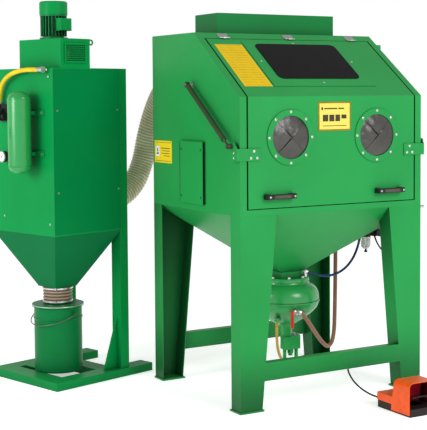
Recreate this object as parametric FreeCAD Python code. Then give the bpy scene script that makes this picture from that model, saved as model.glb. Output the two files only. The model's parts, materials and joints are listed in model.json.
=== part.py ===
import FreeCAD, Part
import math
import os

# Pressure-fed sandblast cabinet with its blast pot, foot pedal and cartridge dust collector.
# Units are millimetres. The row frame stands on the floor under the middle of the whole set:
# +X to the operator's right, +Y towards the back, +Z up.

V = FreeCAD.Vector

# ---- driving dimensions ----------------------------------------------------------------
ORIGIN_SHIFT = V(313, -117, 0)      # cabinet centre on the floor, in the row frame
HALF_W = 505.0                      # cabinet half width
HALF_D = 411.7                      # cabinet half depth
BODY_BOTTOM = 880.0                 # lower edge of the cabinet body
ROOF = 1698.0
SHEET = 3.0                         # sheet thickness
SLOPE_TOP_Y = -6.0                  # where the sloped front meets the roof
BEND_Z = 1401.0                     # where the slope meets the vertical front

DOOR_HALF = 462.0
DOOR_GAP = 8.0
DOOR_START = 49.5                   # distance from the roof edge down the slope to the door
DOOR_BOTTOM = 907.0
DOOR_DEPTH = 22.0
HINGE_X = (-362.0, 0.0, 365.0)
HINGE_S = 47.25                     # hinge line, measured down the slope
HINGE_R = 6.0
PIN_R = 3.0
PIN_PLAY = 0.06

PORT_X = 240.0
PORT_Z = 1218.0
PORT_R = 99.0
PORT_RING_R = 125.0
PORT_BOLT_R = 114.0

WINDOW_HALF = 228.0
WINDOW_V = (130.4, 409.7)           # distances up the slope from the bend
FRAME_HALF = 285.0
FRAME_V = (74.5, 431.7)
INSTR_X = (-440.0, -293.0)
INSTR_V = (76.0, 406.0)

STRUT_X = 537.0
STRUT_TOP = (4.0, 1458.0)           # y, z of the fixed pivot
STRUT_FOOT = (-370.0, 1184.0)       # y, z of the ball stud on the door bracket
STRUT_R = 12.5
ROD_R = 5.0
STRUT_STROKE = 230.0

HOPPER_OUT = 57.0
HOPPER_LOW = 550.0
FLANGE_R = 117.0
FLANGE_Z = 517.0

LEG_TOP_W = 190.0
LEG_FOOT_W = 112.0
LEG_DEEP = 83.0
LEG_T = 4.0
FOOT_T = 8.0
FOOT_HOLE_R = 7.0
FOOT_X = 447.0
FOOT_Y = 365.0

# Dust collector: its own frame has its origin at the near right-hand corner of the casing.
DC_CORNER = V(-1040.5, 394.4, 0)
DC_TURN = 15.84
DC_A = 418.0
DC_B = 500.0
DC_Z = (743.0, 1542.0)
DC_MID = (209.0, 250.0)
DC_OUT = 69.0
DC_OUT_Z = 464.0

slope_cos = (SLOPE_TOP_Y + HALF_D) / math.hypot(SLOPE_TOP_Y + HALF_D, ROOF - BEND_Z)
slope_sin = (ROOF - BEND_Z) / math.hypot(SLOPE_TOP_Y + HALF_D, ROOF - BEND_Z)
SLOPE_LEN = math.hypot(SLOPE_TOP_Y + HALF_D, ROOF - BEND_Z)
SLOPE_DEG = math.degrees(math.atan2(slope_sin, slope_cos))

parts = {}


# ---- helpers ---------------------------------------------------------------------------
def box(x0, x1, y0, y1, z0, z1):
    return Part.makeBox(x1 - x0, y1 - y0, z1 - z0, V(x0, y0, z0))


def rod(radius, a, b):
    axis = b - a
    return Part.makeCylinder(radius, axis.Length, a, axis)


def pipe(outer, inner, a, b):
    axis = b - a
    step = V(axis).normalize()
    return rod(outer, a, b).cut(rod(inner, a - step, b + step))


def fuse(*shapes):
    whole = shapes[0].fuse(list(shapes[1:])) if len(shapes) > 1 else shapes[0]
    return whole.removeSplitter()


def poly_x(points, x0, x1):
    """Prism along X from an outline of (y, z) points."""
    wire = Part.makePolygon([V(x0, y, z) for y, z in points] + [V(x0, *points[0])])
    return Part.Face(wire).extrude(V(x1 - x0, 0, 0))


def poly_y(points, y0, y1):
    """Prism along Y from an outline of (x, z) points."""
    wire = Part.makePolygon([V(x, y0, z) for x, z in points] + [V(points[0][0], y0, points[0][1])])
    return Part.Face(wire).extrude(V(0, y1 - y0, 0))


def poly_z(points, z0, z1):
    """Prism along Z from an outline of (x, y) points."""
    wire = Part.makePolygon([V(x, y, z0) for x, y in points] + [V(*points[0], z0)])
    return Part.Face(wire).extrude(V(0, 0, z1 - z0))


def turned(profile, x=0.0, y=0.0):
    """Solid of revolution about a vertical axis from a closed outline of (r, z) points."""
    wire = Part.makePolygon([V(x + r, y, z) for r, z in profile] + [V(x + profile[0][0], y, profile[0][1])])
    return Part.Face(wire).revolve(V(x, y, 0), V(0, 0, 1), 360)


def pyramid(half_low, half_high, z_low, z_high, centre=(0.0, 0.0)):
    """Four-sided solid between two rectangles given by their half sizes."""
    rings = []
    for (hx, hy), z in ((half_low, z_low), (half_high, z_high)):
        corners = [(-hx, -hy), (hx, -hy), (hx, hy), (-hx, hy), (-hx, -hy)]
        rings.append(Part.makePolygon([V(centre[0] + x, centre[1] + y, z) for x, y in corners]))
    return Part.makeLoft(rings, True, True)


def on_slope(shape):
    """Move a shape drawn flat (X across, Y up the slope, Z outwards) on to the sloped front."""
    moved = shape.copy()
    moved.Placement = FreeCAD.Placement(V(0, -HALF_D, BEND_Z), FreeCAD.Rotation(V(1, 0, 0), SLOPE_DEG))
    return moved


def slope_point(s, height=0.0):
    """(y, z) of a point s down the slope from the roof edge, height above the sheet."""
    return (SLOPE_TOP_Y - s * slope_cos - height * slope_sin, ROOF - s * slope_sin + height * slope_cos)


def bend_point(depth):
    """(y, z) of the inside corner of the front at a depth behind its face."""
    return (-HALF_D + depth, BEND_Z - depth * (1 - slope_sin) / slope_cos)


def front_band(near, far, start, bottom, half):
    """The cranked front slab between two depths, from a place on the slope to a height."""
    outline = [slope_point(start, -near), bend_point(near), (-HALF_D + near, bottom),
               (-HALF_D + far, bottom), bend_point(far), slope_point(start, -far)]
    return poly_x(outline, -half, half)


def hex_head(at, axis, flats=10.0, height=5.0, washer=0.0):
    """A screw head seated on a surface, with a washer when one is asked for."""
    axis = V(axis).normalize()
    side = V(0, 0, 1).cross(axis) if abs(axis.z) < 0.9 else V(1, 0, 0)
    side.normalize()
    other = axis.cross(side)
    base = V(at)
    pieces = []
    if washer:
        pieces.append(rod(washer, base, base + axis * 1.2))
        base = base + axis * 1.2
    r = flats / math.sqrt(3)
    ring = [base + side * (r * math.cos(math.radians(60 * k))) + other * (r * math.sin(math.radians(60 * k)))
            for k in range(7)]
    pieces.append(Part.Face(Part.makePolygon(ring)).extrude(axis * height))
    return fuse(*pieces)


def mirrored(shape):
    return shape.mirror(V(0, 0, 0), V(1, 0, 0))


def hose(name, points, diameter):
    """A tube of straight runs joined by tangent arcs; prints its bends and its length."""
    pts = [V(*p) for p in points]
    edges, here, radii, length = [], pts[0], [], 0.0
    for a, b, c in zip(pts, pts[1:], pts[2:]):
        u, w = (b - a).normalize(), (c - b).normalize()
        turn = u.getAngle(w)
        reach = 0.45 * min((b - a).Length, (c - b).Length)
        radius = reach / math.tan(turn / 2)
        start, end = b - u * reach, b + w * reach
        inward = (w - u).normalize()
        middle = b + inward * (radius / math.cos(turn / 2) - radius)
        edges += [Part.LineSegment(here, start).toShape(), Part.Arc(start, middle, end).toShape()]
        here = end
        radii.append(round(radius / diameter, 1))
    edges.append(Part.LineSegment(here, pts[-1]).toShape())
    path = Part.Wire(edges)
    section = Part.Wire(Part.makeCircle(diameter / 2, pts[0], pts[1] - pts[0]))
    tube = path.makePipeShell([section], True, False)
    ideal = path.Length * math.pi * diameter ** 2 / 4
    print(name, "length", round(path.Length), "radii/diameter", radii, "volume", round(tube.Volume / ideal,
        3))
    return tube


def save(name, *shapes, dc=False):
    """Add solids to a node, placed in the row frame; dc pieces are drawn in the collector's frame."""
    for shape in shapes:
        for solid in shape.Solids:
            copy = solid.copy()
            if dc:
                copy.rotate(V(0, 0, 0), V(0, 0, 1), DC_TURN)
                copy.translate(DC_CORNER)
            copy.translate(ORIGIN_SHIFT)
            parts.setdefault(name, []).append(copy)


def export_parts():
    """Write every node to its STEP file."""
    for name, solids in parts.items():
        node = solids[0] if len(solids) == 1 else Part.makeCompound(solids)
        if not node.isValid() or min(s.Volume for s in solids) <= 0:
            print("BAD SHAPE", name)
        node.exportStep("parts/" + name + ".step")


os.makedirs("parts", exist_ok=True)


# ---- cabinet body ----------------------------------------------------------------------
SIDE_DOOR_Y = (28.0, 377.0)
SIDE_DOOR_Z = (985.0, 1594.0)
SIDE_HOOD = (-23.0, 389.0, 1600.0, 1655.0)
COLLAR = 28.0                       # how far the side opening's collar stands out
LIGHT_BOX = (337.0, 65.0, 281.0, 100.0)
SPIGOT = (-290.0, 1490.0)           # x, z of the extraction spigot on the back
SPIGOT_R = 57.0
INTAKE_Y = (-105.0, 117.0)
INTAKE_Z = (906.0, 1195.0)


def body_outline(inset):
    low = BODY_BOTTOM if inset == 0 else BODY_BOTTOM - 1
    y_top, z_top = slope_point(0, 0)
    shift = inset * (1 - slope_cos) / slope_sin
    return [(-HALF_D + inset, low), bend_point(inset), (y_top + shift, z_top - inset),
            (HALF_D - inset, ROOF - inset), (HALF_D - inset, low)]


def cabinet_shell():
    shell = poly_x(body_outline(0), -HALF_W, HALF_W)
    shell = shell.cut(poly_x(body_outline(SHEET), -HALF_W + SHEET, HALF_W - SHEET))
    rim = box(-HALF_W, HALF_W, -HALF_D, HALF_D, BODY_BOTTOM, BODY_BOTTOM + SHEET)
    rim = rim.cut(box(-HALF_W + 25, HALF_W - 25, -HALF_D + 25, HALF_D - 25, BODY_BOTTOM - 1,
                      BODY_BOTTOM + 9))
    opening = DOOR_HALF + DOOR_GAP
    top, low = DOOR_START - 4.5, DOOR_BOTTOM - 4
    jamb = front_band(SHEET / 2, 29, top - SHEET, low - SHEET, opening + SHEET)
    shell = fuse(shell, rim, jamb)
    shell = shell.cut(front_band(-1, 26, top, low, opening))
    shell = shell.cut(front_band(20, 40, top + 30, low + 30, opening - 30))
    # Opening and collar of the side door
    (y0, y1), (z0, z1) = SIDE_DOOR_Y, SIDE_DOOR_Z
    collar = box(HALF_W - 1, HALF_W + COLLAR, y0 + 12, y1 - 12, z0 + 12, z1 - 12)
    hole = box(HALF_W - 20, HALF_W + COLLAR + 1, y0 + 16, y1 - 16, z0 + 16, z1 - 16)
    # Air intake, light and extraction openings
    slots = [box(-HALF_W - 1, -HALF_W + 9, y, y + 14, 940, 1160) for y in (-80, -40, 0, 40, 78)]
    half, ly0, ly1, _ = LIGHT_BOX
    light = box(-half + 30, half - 30, ly0 + 30, ly1 - 30, ROOF - 9, ROOF + 9)
    duct = rod(SPIGOT_R - 3, V(SPIGOT[0], HALF_D - 9, SPIGOT[1]), V(SPIGOT[0], HALF_D + 9, SPIGOT[1]))
    return fuse(shell, collar).cut([hole, light, duct] + slots)


shell = cabinet_shell()
save("cabinet_shell", shell)

# Light box on the roof, its tubes and the diffuser pane it looks down through
half, ly0, ly1, lh = LIGHT_BOX
lamp_box = box(-half, half, ly0, ly1, ROOF, ROOF + lh)
lamp_box = lamp_box.makeFillet(4, [e for e in lamp_box.Edges if abs(e.CenterOfMass.z - ROOF) > 2])
lamp_box = lamp_box.cut(box(-half + 2, half - 2, ly0 + 2, ly1 - 2, ROOF - 1, ROOF + lh - 2))
save("light_box", lamp_box)
save("light_glass", box(-half + 8, half - 8, ly0 + 8, ly1 - 8, ROOF, ROOF + 5))
tubes = [rod(13, V(-half + 40, y, ROOF + 50), V(half - 40, y, ROOF + 50)) for y in (ly0 + 65, ly1 - 65)]
holders = [box(x, x + 18, ly0 + 40, ly1 - 40, ROOF + 72, ROOF + lh - 2).fuse(
    [rod(16, V(x, y, ROOF + 50), V(x + 18, y, ROOF + 50)).fuse(box(x, x + 18, y - 8, y + 8, ROOF + 50,
        ROOF + 74))
     for y in (ly0 + 65, ly1 - 65)]) for x in (-half + 22, half - 40)]
save("light_glass", *tubes)
save("light_box", *holders)

# Hopper with its round outlet flange
UP = (HALF_W, HALF_D)
hop = pyramid((HOPPER_OUT, HOPPER_OUT), UP, HOPPER_LOW, BODY_BOTTOM - SHEET)
hopper_envelope = hop.copy()
hop_in = pyramid((HOPPER_OUT - 4, HOPPER_OUT - 4), (UP[0] - 4, UP[1] - 4), HOPPER_LOW - 0.01,
                 BODY_BOTTOM - SHEET + 0.01)
top_rim = box(-UP[0], UP[0], -UP[1], UP[1], BODY_BOTTOM - SHEET, BODY_BOTTOM)
top_rim = top_rim.cut(box(-UP[0] + 25, UP[0] - 25, -UP[1] + 25, UP[1] - 25, 0, BODY_BOTTOM + 9))
spout = box(-HOPPER_OUT, HOPPER_OUT, -HOPPER_OUT, HOPPER_OUT, FLANGE_Z + 6, HOPPER_LOW)
spout = spout.cut(box(-HOPPER_OUT + 4, HOPPER_OUT - 4, -HOPPER_OUT + 4, HOPPER_OUT - 4, 0, HOPPER_LOW + 9))
ring = rod(FLANGE_R, V(0, 0, FLANGE_Z), V(0, 0, FLANGE_Z + 6)).cut(
    box(-HOPPER_OUT + 4, HOPPER_OUT - 4, -HOPPER_OUT + 4, HOPPER_OUT - 4, 0, HOPPER_LOW))
save("hopper", fuse(hop.cut(hop_in), top_rim, spout, ring))


# ---- stand -----------------------------------------------------------------------------
def leg_outline(grow=0.0):
    """Front view of the right leg, flared towards the top."""
    top = BODY_BOTTOM - SHEET
    return [(HALF_W - grow, FOOT_T), (HALF_W - grow, top),
            (HALF_W - LEG_TOP_W + grow, top), (HALF_W - LEG_FOOT_W + grow, FOOT_T)]


def leg():
    block = poly_y(leg_outline(), -HALF_D, -HALF_D + LEG_DEEP)
    inside = poly_y(leg_outline(LEG_T), -HALF_D + LEG_T, -HALF_D + LEG_DEEP + 1)
    channel = block.cut(inside)
    return channel.cut(hopper_envelope)


leg_fr = leg()
legs = [leg_fr, mirrored(leg_fr), leg_fr.mirror(V(0, 0, 0), V(0, 1, 0)),
        mirrored(leg_fr).mirror(V(0, 0, 0), V(0, 1, 0))]
save("stand_legs", *legs)
feet = []
for sx in (-1, 1):
    for sy in (-1, 1):
        x0, x1 = sorted((sx * 385.0, sx * 510.0))
        y0, y1 = sorted((sy * 322.0, sy * 414.0))
        pad = box(x0, x1, y0, y1, 0, FOOT_T)
        bolt = V(sx * FOOT_X, sy * FOOT_Y, -1)
        feet.append(pad.cut(rod(FOOT_HOLE_R, bolt, bolt + V(0, 0, FOOT_T + 2))))
save("foot_plates", *feet)
beam = box(-400, 400, -HALF_D, -HALF_D + 40, 135, 217).cut(box(-401, 401, -HALF_D + 3, -HALF_D + 37, 138,
    214))
beam = beam.cut([poly_y(leg_outline(), -HALF_D - 9, 0), mirrored(poly_y(leg_outline(), -HALF_D - 9, 0))])
save("stand_legs", beam, beam.mirror(V(0, 0, 0), V(0, 1, 0)))

# Stand of the working floor inside: an expanded grate on the lower rim
GRATE_Z = BODY_BOTTOM + SHEET
gx, gy = HALF_W - 8, HALF_D - 35
grate = box(-gx, gx, -gy, gy, GRATE_Z, GRATE_Z + 6).cut(box(-gx + 8, gx - 8, -gy + 8, gy - 8, 0,
                                                            GRATE_Z + 9))
bars = [box(-gx + 4, gx - 4, y - 2, y + 2, GRATE_Z, GRATE_Z + 6) for y in range(-320, 321, 40)]
ribs = [box(x - 2, x + 2, -gy + 4, gy - 4, GRATE_Z, GRATE_Z + 6) for x in range(-440, 441, 80)]
save("floor_grate", fuse(grate, *bars, *ribs))

# Blast nozzle in its clamp on the right wall inside
NOZZLE = V(HALF_W - 75, -120, 1120)
aim = V(-0.86, -0.1, -0.5).normalize()
barrel = fuse(rod(17, NOZZLE, NOZZLE + aim * 90), rod(22, NOZZLE - aim * 14, NOZZLE + aim * 26))
barrel = fuse(barrel, Part.makeCone(17, 11, 34, NOZZLE + aim * 90, aim))
barrel_envelope = barrel.copy()
barrel = barrel.cut(rod(4, NOZZLE + aim * 20, NOZZLE + aim * 130))
save("blast_nozzle", barrel)
bracket_x = HALF_W - SHEET
clamp = fuse(rod(27, NOZZLE + aim * 34, NOZZLE + aim * 58),
             box(NOZZLE.x - 30, bracket_x, -132, -120, 1086, 1106).cut(rod(20, NOZZLE + aim * 20,
                 NOZZLE + aim * 70)),
             box(bracket_x - 5, bracket_x, -160, -90, 1060, 1130)).cut(barrel_envelope)
save("blast_nozzle", clamp)

# Left-hand air intake cover, and the warning plate beside it
iy0, iy1 = INTAKE_Y
iz0, iz1 = INTAKE_Z
cover = box(-HALF_W - 14, -HALF_W - 11, iy0, iy1, iz0, iz1)
top_edge = box(-HALF_W - 14, -HALF_W, iy0, iy1, iz1 - 3, iz1)
low_edge = box(-HALF_W - 14, -HALF_W, iy0, iy1, iz0, iz0 + 3)
posts = [rod(7, V(-HALF_W - 11, y, z), V(-HALF_W, y, z)) for y in (iy0 + 18, iy1 - 18) for z in (iz0 + 32,
    iz1 - 38)]
save("sheet_covers", fuse(cover, top_edge, low_edge, *posts))
hy0, hy1, hz0, hz1 = SIDE_HOOD
hood = box(HALF_W, HALF_W + 62, hy0, hy1, hz0, hz1)
hood = hood.cut(box(HALF_W - 1, HALF_W + 59, hy0 + 3, hy1 - 3, hz0 - 1, hz1 - 3))
save("sheet_covers", hood)
save("warning_plate", box(-HALF_W - 1.2, -HALF_W, 217, 395, 1081, 1189))

# ---- front door ------------------------------------------------------------------------
pan = front_band(0, DOOR_DEPTH, DOOR_START, DOOR_BOTTOM, DOOR_HALF)
hollow = front_band(SHEET, DOOR_DEPTH + 5, DOOR_START + SHEET, DOOR_BOTTOM + SHEET, DOOR_HALF - SHEET)
pan = pan.cut(hollow)
window_hole = box(-WINDOW_HALF + 12, WINDOW_HALF - 12, WINDOW_V[0] + 12, WINDOW_V[1] - 12, -30, 30)
window_hole = window_hole.makeFillet(20, [e for e in window_hole.Edges if e.Length > 59 and e.Length < 61])
pan = pan.cut(on_slope(window_hole))
for x in (-PORT_X, PORT_X):
    pan = pan.cut(rod(PORT_R + 1, V(x, -HALF_D - 9, PORT_Z), V(x, -HALF_D + 9, PORT_Z)))
save("front_door", pan)

seal_out = front_band(DOOR_DEPTH, 25.9, DOOR_START + 6, DOOR_BOTTOM + 6, DOOR_HALF - 6)
seal_in = front_band(DOOR_DEPTH - 5, 40, DOOR_START + 22, DOOR_BOTTOM + 22, DOOR_HALF - 22)
save("door_rubbers", seal_out.cut(seal_in))

plate = box(-FRAME_HALF, FRAME_HALF, FRAME_V[0], FRAME_V[1], 0, 3)
glass = box(-WINDOW_HALF, WINDOW_HALF, WINDOW_V[0], WINDOW_V[1], 0, 6)
glass = glass.makeFillet(28, [e for e in glass.Edges if 5.9 < e.Length < 6.1])
save("window_glass", on_slope(glass))
rim_in = box(-WINDOW_HALF, WINDOW_HALF, WINDOW_V[0], WINDOW_V[1], -1, 9)
rim_in = rim_in.makeFillet(28, [e for e in rim_in.Edges if 9.9 < e.Length < 10.1])
save("door_trim", on_slope(plate.cut(rim_in)))

rings, cuffs, gloves = [], [], []
for x in (-PORT_X, PORT_X):
    face = V(x, -HALF_D, PORT_Z)
    out = V(0, -1, 0)
    flange = pipe(PORT_RING_R, PORT_R, face, face + out * 4)
    collar = pipe(PORT_R + 0.8, PORT_R - 2, face - out * 40, face + out * 4)
    rings.append(fuse(flange, collar))
    dome = Part.makeSphere(300, face + V(0, 300 - 16, 0)).cut(Part.makeSphere(297, face + V(0, 300 - 16, 0)))
    dome = dome.common(rod(PORT_R - 2.2, face - out * 30, face + out * 30))
    for turn in (45, 135):
        slit = box(x - 92, x + 92, -HALF_D - 40, -HALF_D + 40, PORT_Z - 0.8, PORT_Z + 0.8)
        dome = dome.cut(slit.rotate(face, V(0, 1, 0), turn))
    cuffs.append(dome)
    # Glove: a closed soft sleeve from the ring down to the fist
    y = -HALF_D + 28
    sleeve_rings = [Part.Wire(Part.makeCircle(r, V(x * k, y + d, PORT_Z - drop), V(0, 1, -tilt)))
                    for r, d, drop, tilt, k in ((96, 0, 0, 0, 1), (82, 60, 12, 0.3, 0.98), (58, 170, 62,
                        0.55, 0.93),
                                                (44, 290, 140, 0.7, 0.86))]
    arm = Part.makeLoft(sleeve_rings, True, False)
    hand = Part.makeSphere(52, V(x * 0.84, y + 335, PORT_Z - 172))
    gloves.append(fuse(arm, hand))
save("door_trim", *rings)
save("door_rubbers", *cuffs)
save("gloves", *gloves)

# Door fasteners: port rings, window frame, strut brackets
screws = []
for x in (-PORT_X, PORT_X):
    for k in range(8):
        turn = math.radians(45 * k)
        at = V(x + PORT_BOLT_R * math.cos(turn), -HALF_D - 4, PORT_Z + PORT_BOLT_R * math.sin(turn))
        screws.append(hex_head(at, (0, -1, 0), 9, 4))
mid_v = sum(WINDOW_V) / 2
for u, v in ((-256, mid_v), (256, mid_v), (0, 102), (0, 421)):
    screws.append(on_slope(hex_head(V(u, v, 3), (0, 0, 1), 9, 4)))
for sx in (-1, 1):
    for x, z in ((434, 1162), (418, 1132), (450, 1132)):
        screws.append(hex_head(V(sx * x, -HALF_D - 4, z), (0, -1, 0), 10, 5))
    for z in (1156, 1134):
        screws.append(hex_head(V(sx * 522, -388, z), (sx, 0, 0), 10, 5))
save("door_hardware", *screws)

handles = []
for sx in (-1, 1):
    centre = V(sx * 306, -HALF_D, 958.5)
    grip = box(centre.x - 76, centre.x + 76, -HALF_D - 40, -HALF_D, 947, 970)
    grip = grip.makeFillet(9, [e for e in grip.Edges if abs(e.CenterOfMass.y + HALF_D) > 39])
    finger = box(centre.x - 54, centre.x + 54, -HALF_D - 28, -HALF_D + 1, 940, 980)
    handles.append(grip.cut(finger))
save("door_handles", *handles)

brackets = []
for sx in (-1, 1):
    x0, x1 = sorted((sx * 400.0, sx * 522.0))
    f0, f1 = sorted((sx * 518.0, sx * 522.0))
    flat = box(x0, x1, -HALF_D - 4, -HALF_D, 1119, 1174)
    ear = poly_x([(-HALF_D - 4, 1119), (-HALF_D - 4, 1174), (-392, 1200), (-358, 1200), (-358, 1119)], f0,
                 f1)
    brackets.append(fuse(flat, ear))
save("door_trim", *brackets)

instr = box(INSTR_X[0], INSTR_X[1], INSTR_V[0], INSTR_V[1], 0, 1.2)
name_rim = box(-91, 91, -HALF_D - 2, -HALF_D, 1243, 1375)
name_rim = name_rim.cut(box(-84, 84, -HALF_D - 3, -HALF_D - 1, 1250, 1368))
save("door_plates", on_slope(instr), name_rim)


# ---- hinges ----------------------------------------------------------------------------
def flat_hinge_leaf(x, s0, s1):
    """A leaf lying on the slope between two distances down it."""
    v0, v1 = SLOPE_LEN - s1, SLOPE_LEN - s0
    return on_slope(box(x - 27, x + 27, v0, v1, 0, 2.5))


hinge_y, hinge_z = slope_point(HINGE_S, HINGE_R)
fixed_leaves, door_leaves = [], []
for x in HINGE_X:
    mid = pipe(HINGE_R, PIN_R - 0.5, V(x - 9, hinge_y, hinge_z), V(x + 9, hinge_y, hinge_z))
    pin = rod(PIN_R, V(x - 27, hinge_y, hinge_z), V(x + 27, hinge_y, hinge_z))
    web_v = (SLOPE_LEN - HINGE_S, SLOPE_LEN - HINGE_S + 14)
    web = on_slope(box(x - 9, x + 9, web_v[0], web_v[1], 0, 2.5))
    fixed_leaves.append(fuse(flat_hinge_leaf(x, 8, 37), web, mid, pin))
    outer = [pipe(HINGE_R, PIN_R + PIN_PLAY, V(x + a, hinge_y, hinge_z), V(x + b, hinge_y, hinge_z))
             for a, b in ((-27, -9.3), (9.3, 27))]
    arms = [on_slope(box(x + a, x + b, SLOPE_LEN - HINGE_S - 14, SLOPE_LEN - HINGE_S, 0, 2.5))
            for a, b in ((-27, -9.3), (9.3, 27))]
    clear = rod(PIN_R + PIN_PLAY, V(x - 40, hinge_y, hinge_z), V(x + 40, hinge_y, hinge_z))
    door_leaves.append(fuse(flat_hinge_leaf(x, HINGE_S + 10.5, HINGE_S + 22.5), *outer, *arms).cut(clear))
save("hinge_leaves", *fixed_leaves)
save("door_hardware", *door_leaves)

# ---- gas struts ------------------------------------------------------------------------
top = V(0, *STRUT_TOP)
foot = V(0, *STRUT_FOOT)
along = (foot - top).normalize()
span = (foot - top).Length
pivot = top + V(STRUT_X, 0, 0)
ball = foot + V(STRUT_X, 0, 0)
across = V(1, 0, 0)
cylinder = fuse(rod(13, pivot - across * 8, pivot + across * 8), rod(8, pivot, pivot + along * 22),
                rod(STRUT_R, pivot + along * 14, pivot + along * (span - 48)))
cylinder = cylinder.cut([rod(STRUT_R - 2, pivot + along * 26, pivot + along * (span - 60)),
                         rod(ROD_R + PIN_PLAY, pivot + along * 40, pivot + along * span),
                         rod(5 + PIN_PLAY, pivot - across * 20, pivot + across * 20)])
piston_at = span - 62 - STRUT_STROKE - 14
piston = rod(STRUT_R - 2.1, pivot + along * piston_at, pivot + along * (piston_at + 12))
strut_rod = fuse(rod(ROD_R, pivot + along * piston_at, ball), piston, rod(11, ball - across * 9,
    ball + across * 9),
                 rod(5, ball - across * (STRUT_X - 522.3), ball))
stud = fuse(rod(5, pivot - across * (STRUT_X - HALF_W), pivot + across * 11),
            rod(14, pivot - across * (STRUT_X - HALF_W), pivot - across * (STRUT_X - HALF_W - 8)),
            rod(9, pivot + across * 8.3, pivot + across * 13))
save("strut_cylinder_right", cylinder)
save("strut_cylinder_left", mirrored(cylinder))
save("strut_rod_right", strut_rod)
save("strut_rod_left", mirrored(strut_rod))
save("frame_bolts", stud, mirrored(stud))

# ---- side door -------------------------------------------------------------------------
(sy0, sy1), (sz0, sz1) = SIDE_DOOR_Y, SIDE_DOOR_Z
DOOR_IN = HALF_W + COLLAR + 1.0
DOOR_OUT = HALF_W + 62.0
SIDE_HINGE = (DOOR_OUT - 4.0, sy1 + 9.0)
side_pan = box(DOOR_IN, DOOR_OUT, sy0, sy1, sz0, sz1).cut(
    box(DOOR_IN - 1, DOOR_OUT - 3, sy0 + 3, sy1 - 3, sz0 + 3, sz1 - 3))
side_pan = side_pan.cut(rod(6.1, V(DOOR_OUT - 9, sy0 + 34, 1320), V(DOOR_OUT + 9, sy0 + 34, 1320)))
knuckles, lugs = [], []
for z in (1110.0, 1530.0):
    hx, hy = SIDE_HINGE
    leaf = box(DOOR_OUT, DOOR_OUT + 3, sy1 - 40, sy1 - 1, z - 30, z + 30)
    barrel = pipe(6, PIN_R + PIN_PLAY, V(hx, hy, z - 30), V(hx, hy, z - 0.3))
    link = box(DOOR_OUT, DOOR_OUT + 3, sy1 - 6, hy, z - 30, z - 0.3)
    knuckles.append(fuse(leaf, barrel, link).cut(rod(PIN_R + PIN_PLAY, V(hx, hy, z - 40), V(hx, hy,
        z + 40))))
    lug = box(HALF_W, hx + 1, hy + 1, hy + 5, z, z + 30)
    foot_leaf = box(HALF_W, HALF_W + 3, hy + 1, hy + 25, z - 30, z + 30)
    lug_barrel = rod(6, V(hx, hy, z), V(hx, hy, z + 30))
    lugs.append(fuse(lug, foot_leaf, lug_barrel, rod(PIN_R, V(hx, hy, z - 30), V(hx, hy, z + 30))))
save("side_door", side_pan)
save("side_door", *knuckles)
save("hinge_leaves", *lugs)
latch_at = V(DOOR_OUT, sy0 + 34, 1320)
boss = fuse(rod(16, latch_at + V(0.2, 0, 0), latch_at + V(16, 0, 0)), rod(6, latch_at + V(-30, 0, 0),
    latch_at + V(16, 0, 0)))
lever = box(DOOR_OUT + 10, DOOR_OUT + 20, sy0 + 25, sy0 + 43, 1236, 1324)
lever = lever.makeFillet(4, [e for e in lever.Edges if abs(e.CenterOfMass.x - DOOR_OUT - 15) < 1])
cam = box(DOOR_OUT - 33, DOOR_OUT - 30, sy0 + 22, sy0 + 46, 1314, 1350)
save("side_latch", fuse(boss, lever, cam))

# ---- hose routes -----------------------------------------------------------------------
BLAST_HOSE = [(-36, -190, 376), (6, -176, 338), (54, -152, 288), (106, -122, 238), (154, -98, 194), (202,
    -74, 162),
              (244, -54, 180), (266, -40, 238), (276, -30, 320), (284, -22, 410), (290, -16, 510), (294, -12,
                  610),
              (296, -10, 708)]
AIR_HOSE = [(76, -82, 547), (114, -88, 531), (162, -92, 522), (212, -92, 520), (262, -92, 532), (308, -92,
    558),
            (344, -92, 596), (367, -93, 640), (379, -95, 680), (382, -97, 706)]
SIGNAL_HOSE = [(446, -126, 712), (428, -162, 694), (404, -210, 676), (380, -262, 662), (364, -312, 650),
               (362, -350, 624), (368, -372, 580), (372, -376, 530)]
GRIT_HOSE = [(-106, -88, 322), (-109, -91, 285), (-107, -89, 240), (-99, -82, 196), (-82, -70, 158),
             (-58, -54, 130), (-34, -34, 116), (-8, -16, 113)]
PEDAL_HOSE = [(112, -356, 150), (110, -364, 116), (98, -400, 96), (88, -448, 76), (92, -502, 54), (112, -546,
    36),
              (142, -580, 25), (168, -604.5, 20)]
PULSE_HOSE = [(-28, 74, 1533), (-34, 140, 1536), (-38, 214, 1530), (-38, 284, 1514), (-34, 342, 1482),
              (-28, 380, 1436), (-25, 390, 1378)]
DUCT_HOSE = [(-655.6, 763.5, 863), (-532.7, 798.4, 863), (-416, 828, 930), (-349, 842, 1050), (-330, 822,
    1192),
             (-312, 772, 1328), (-298, 690, 1436), (-290, 580, 1490), (-290, 462.3, 1490)]
blast_hose = hose("blast_hose", BLAST_HOSE, 20.0)
air_hose = hose("air_hose", AIR_HOSE, 12.0)
signal_hose = hose("signal_hose", SIGNAL_HOSE, 8.0)
grit_hose = hose("grit_hose", GRIT_HOSE, 14.0)
pedal_hose = hose("pedal_hose", PEDAL_HOSE, 8.0)
pulse_hose = hose("pulse_hose", PULSE_HOSE, 22.0)
save("blast_hose", blast_hose)
save("air_hose", air_hose)
save("signal_hose", signal_hose)
save("grit_hose", grit_hose)
save("pedal_hose", pedal_hose)
save("pulse_hose", pulse_hose, dc=True)
save("duct_hose", hose("duct_hose", DUCT_HOSE, 120.0))

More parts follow.
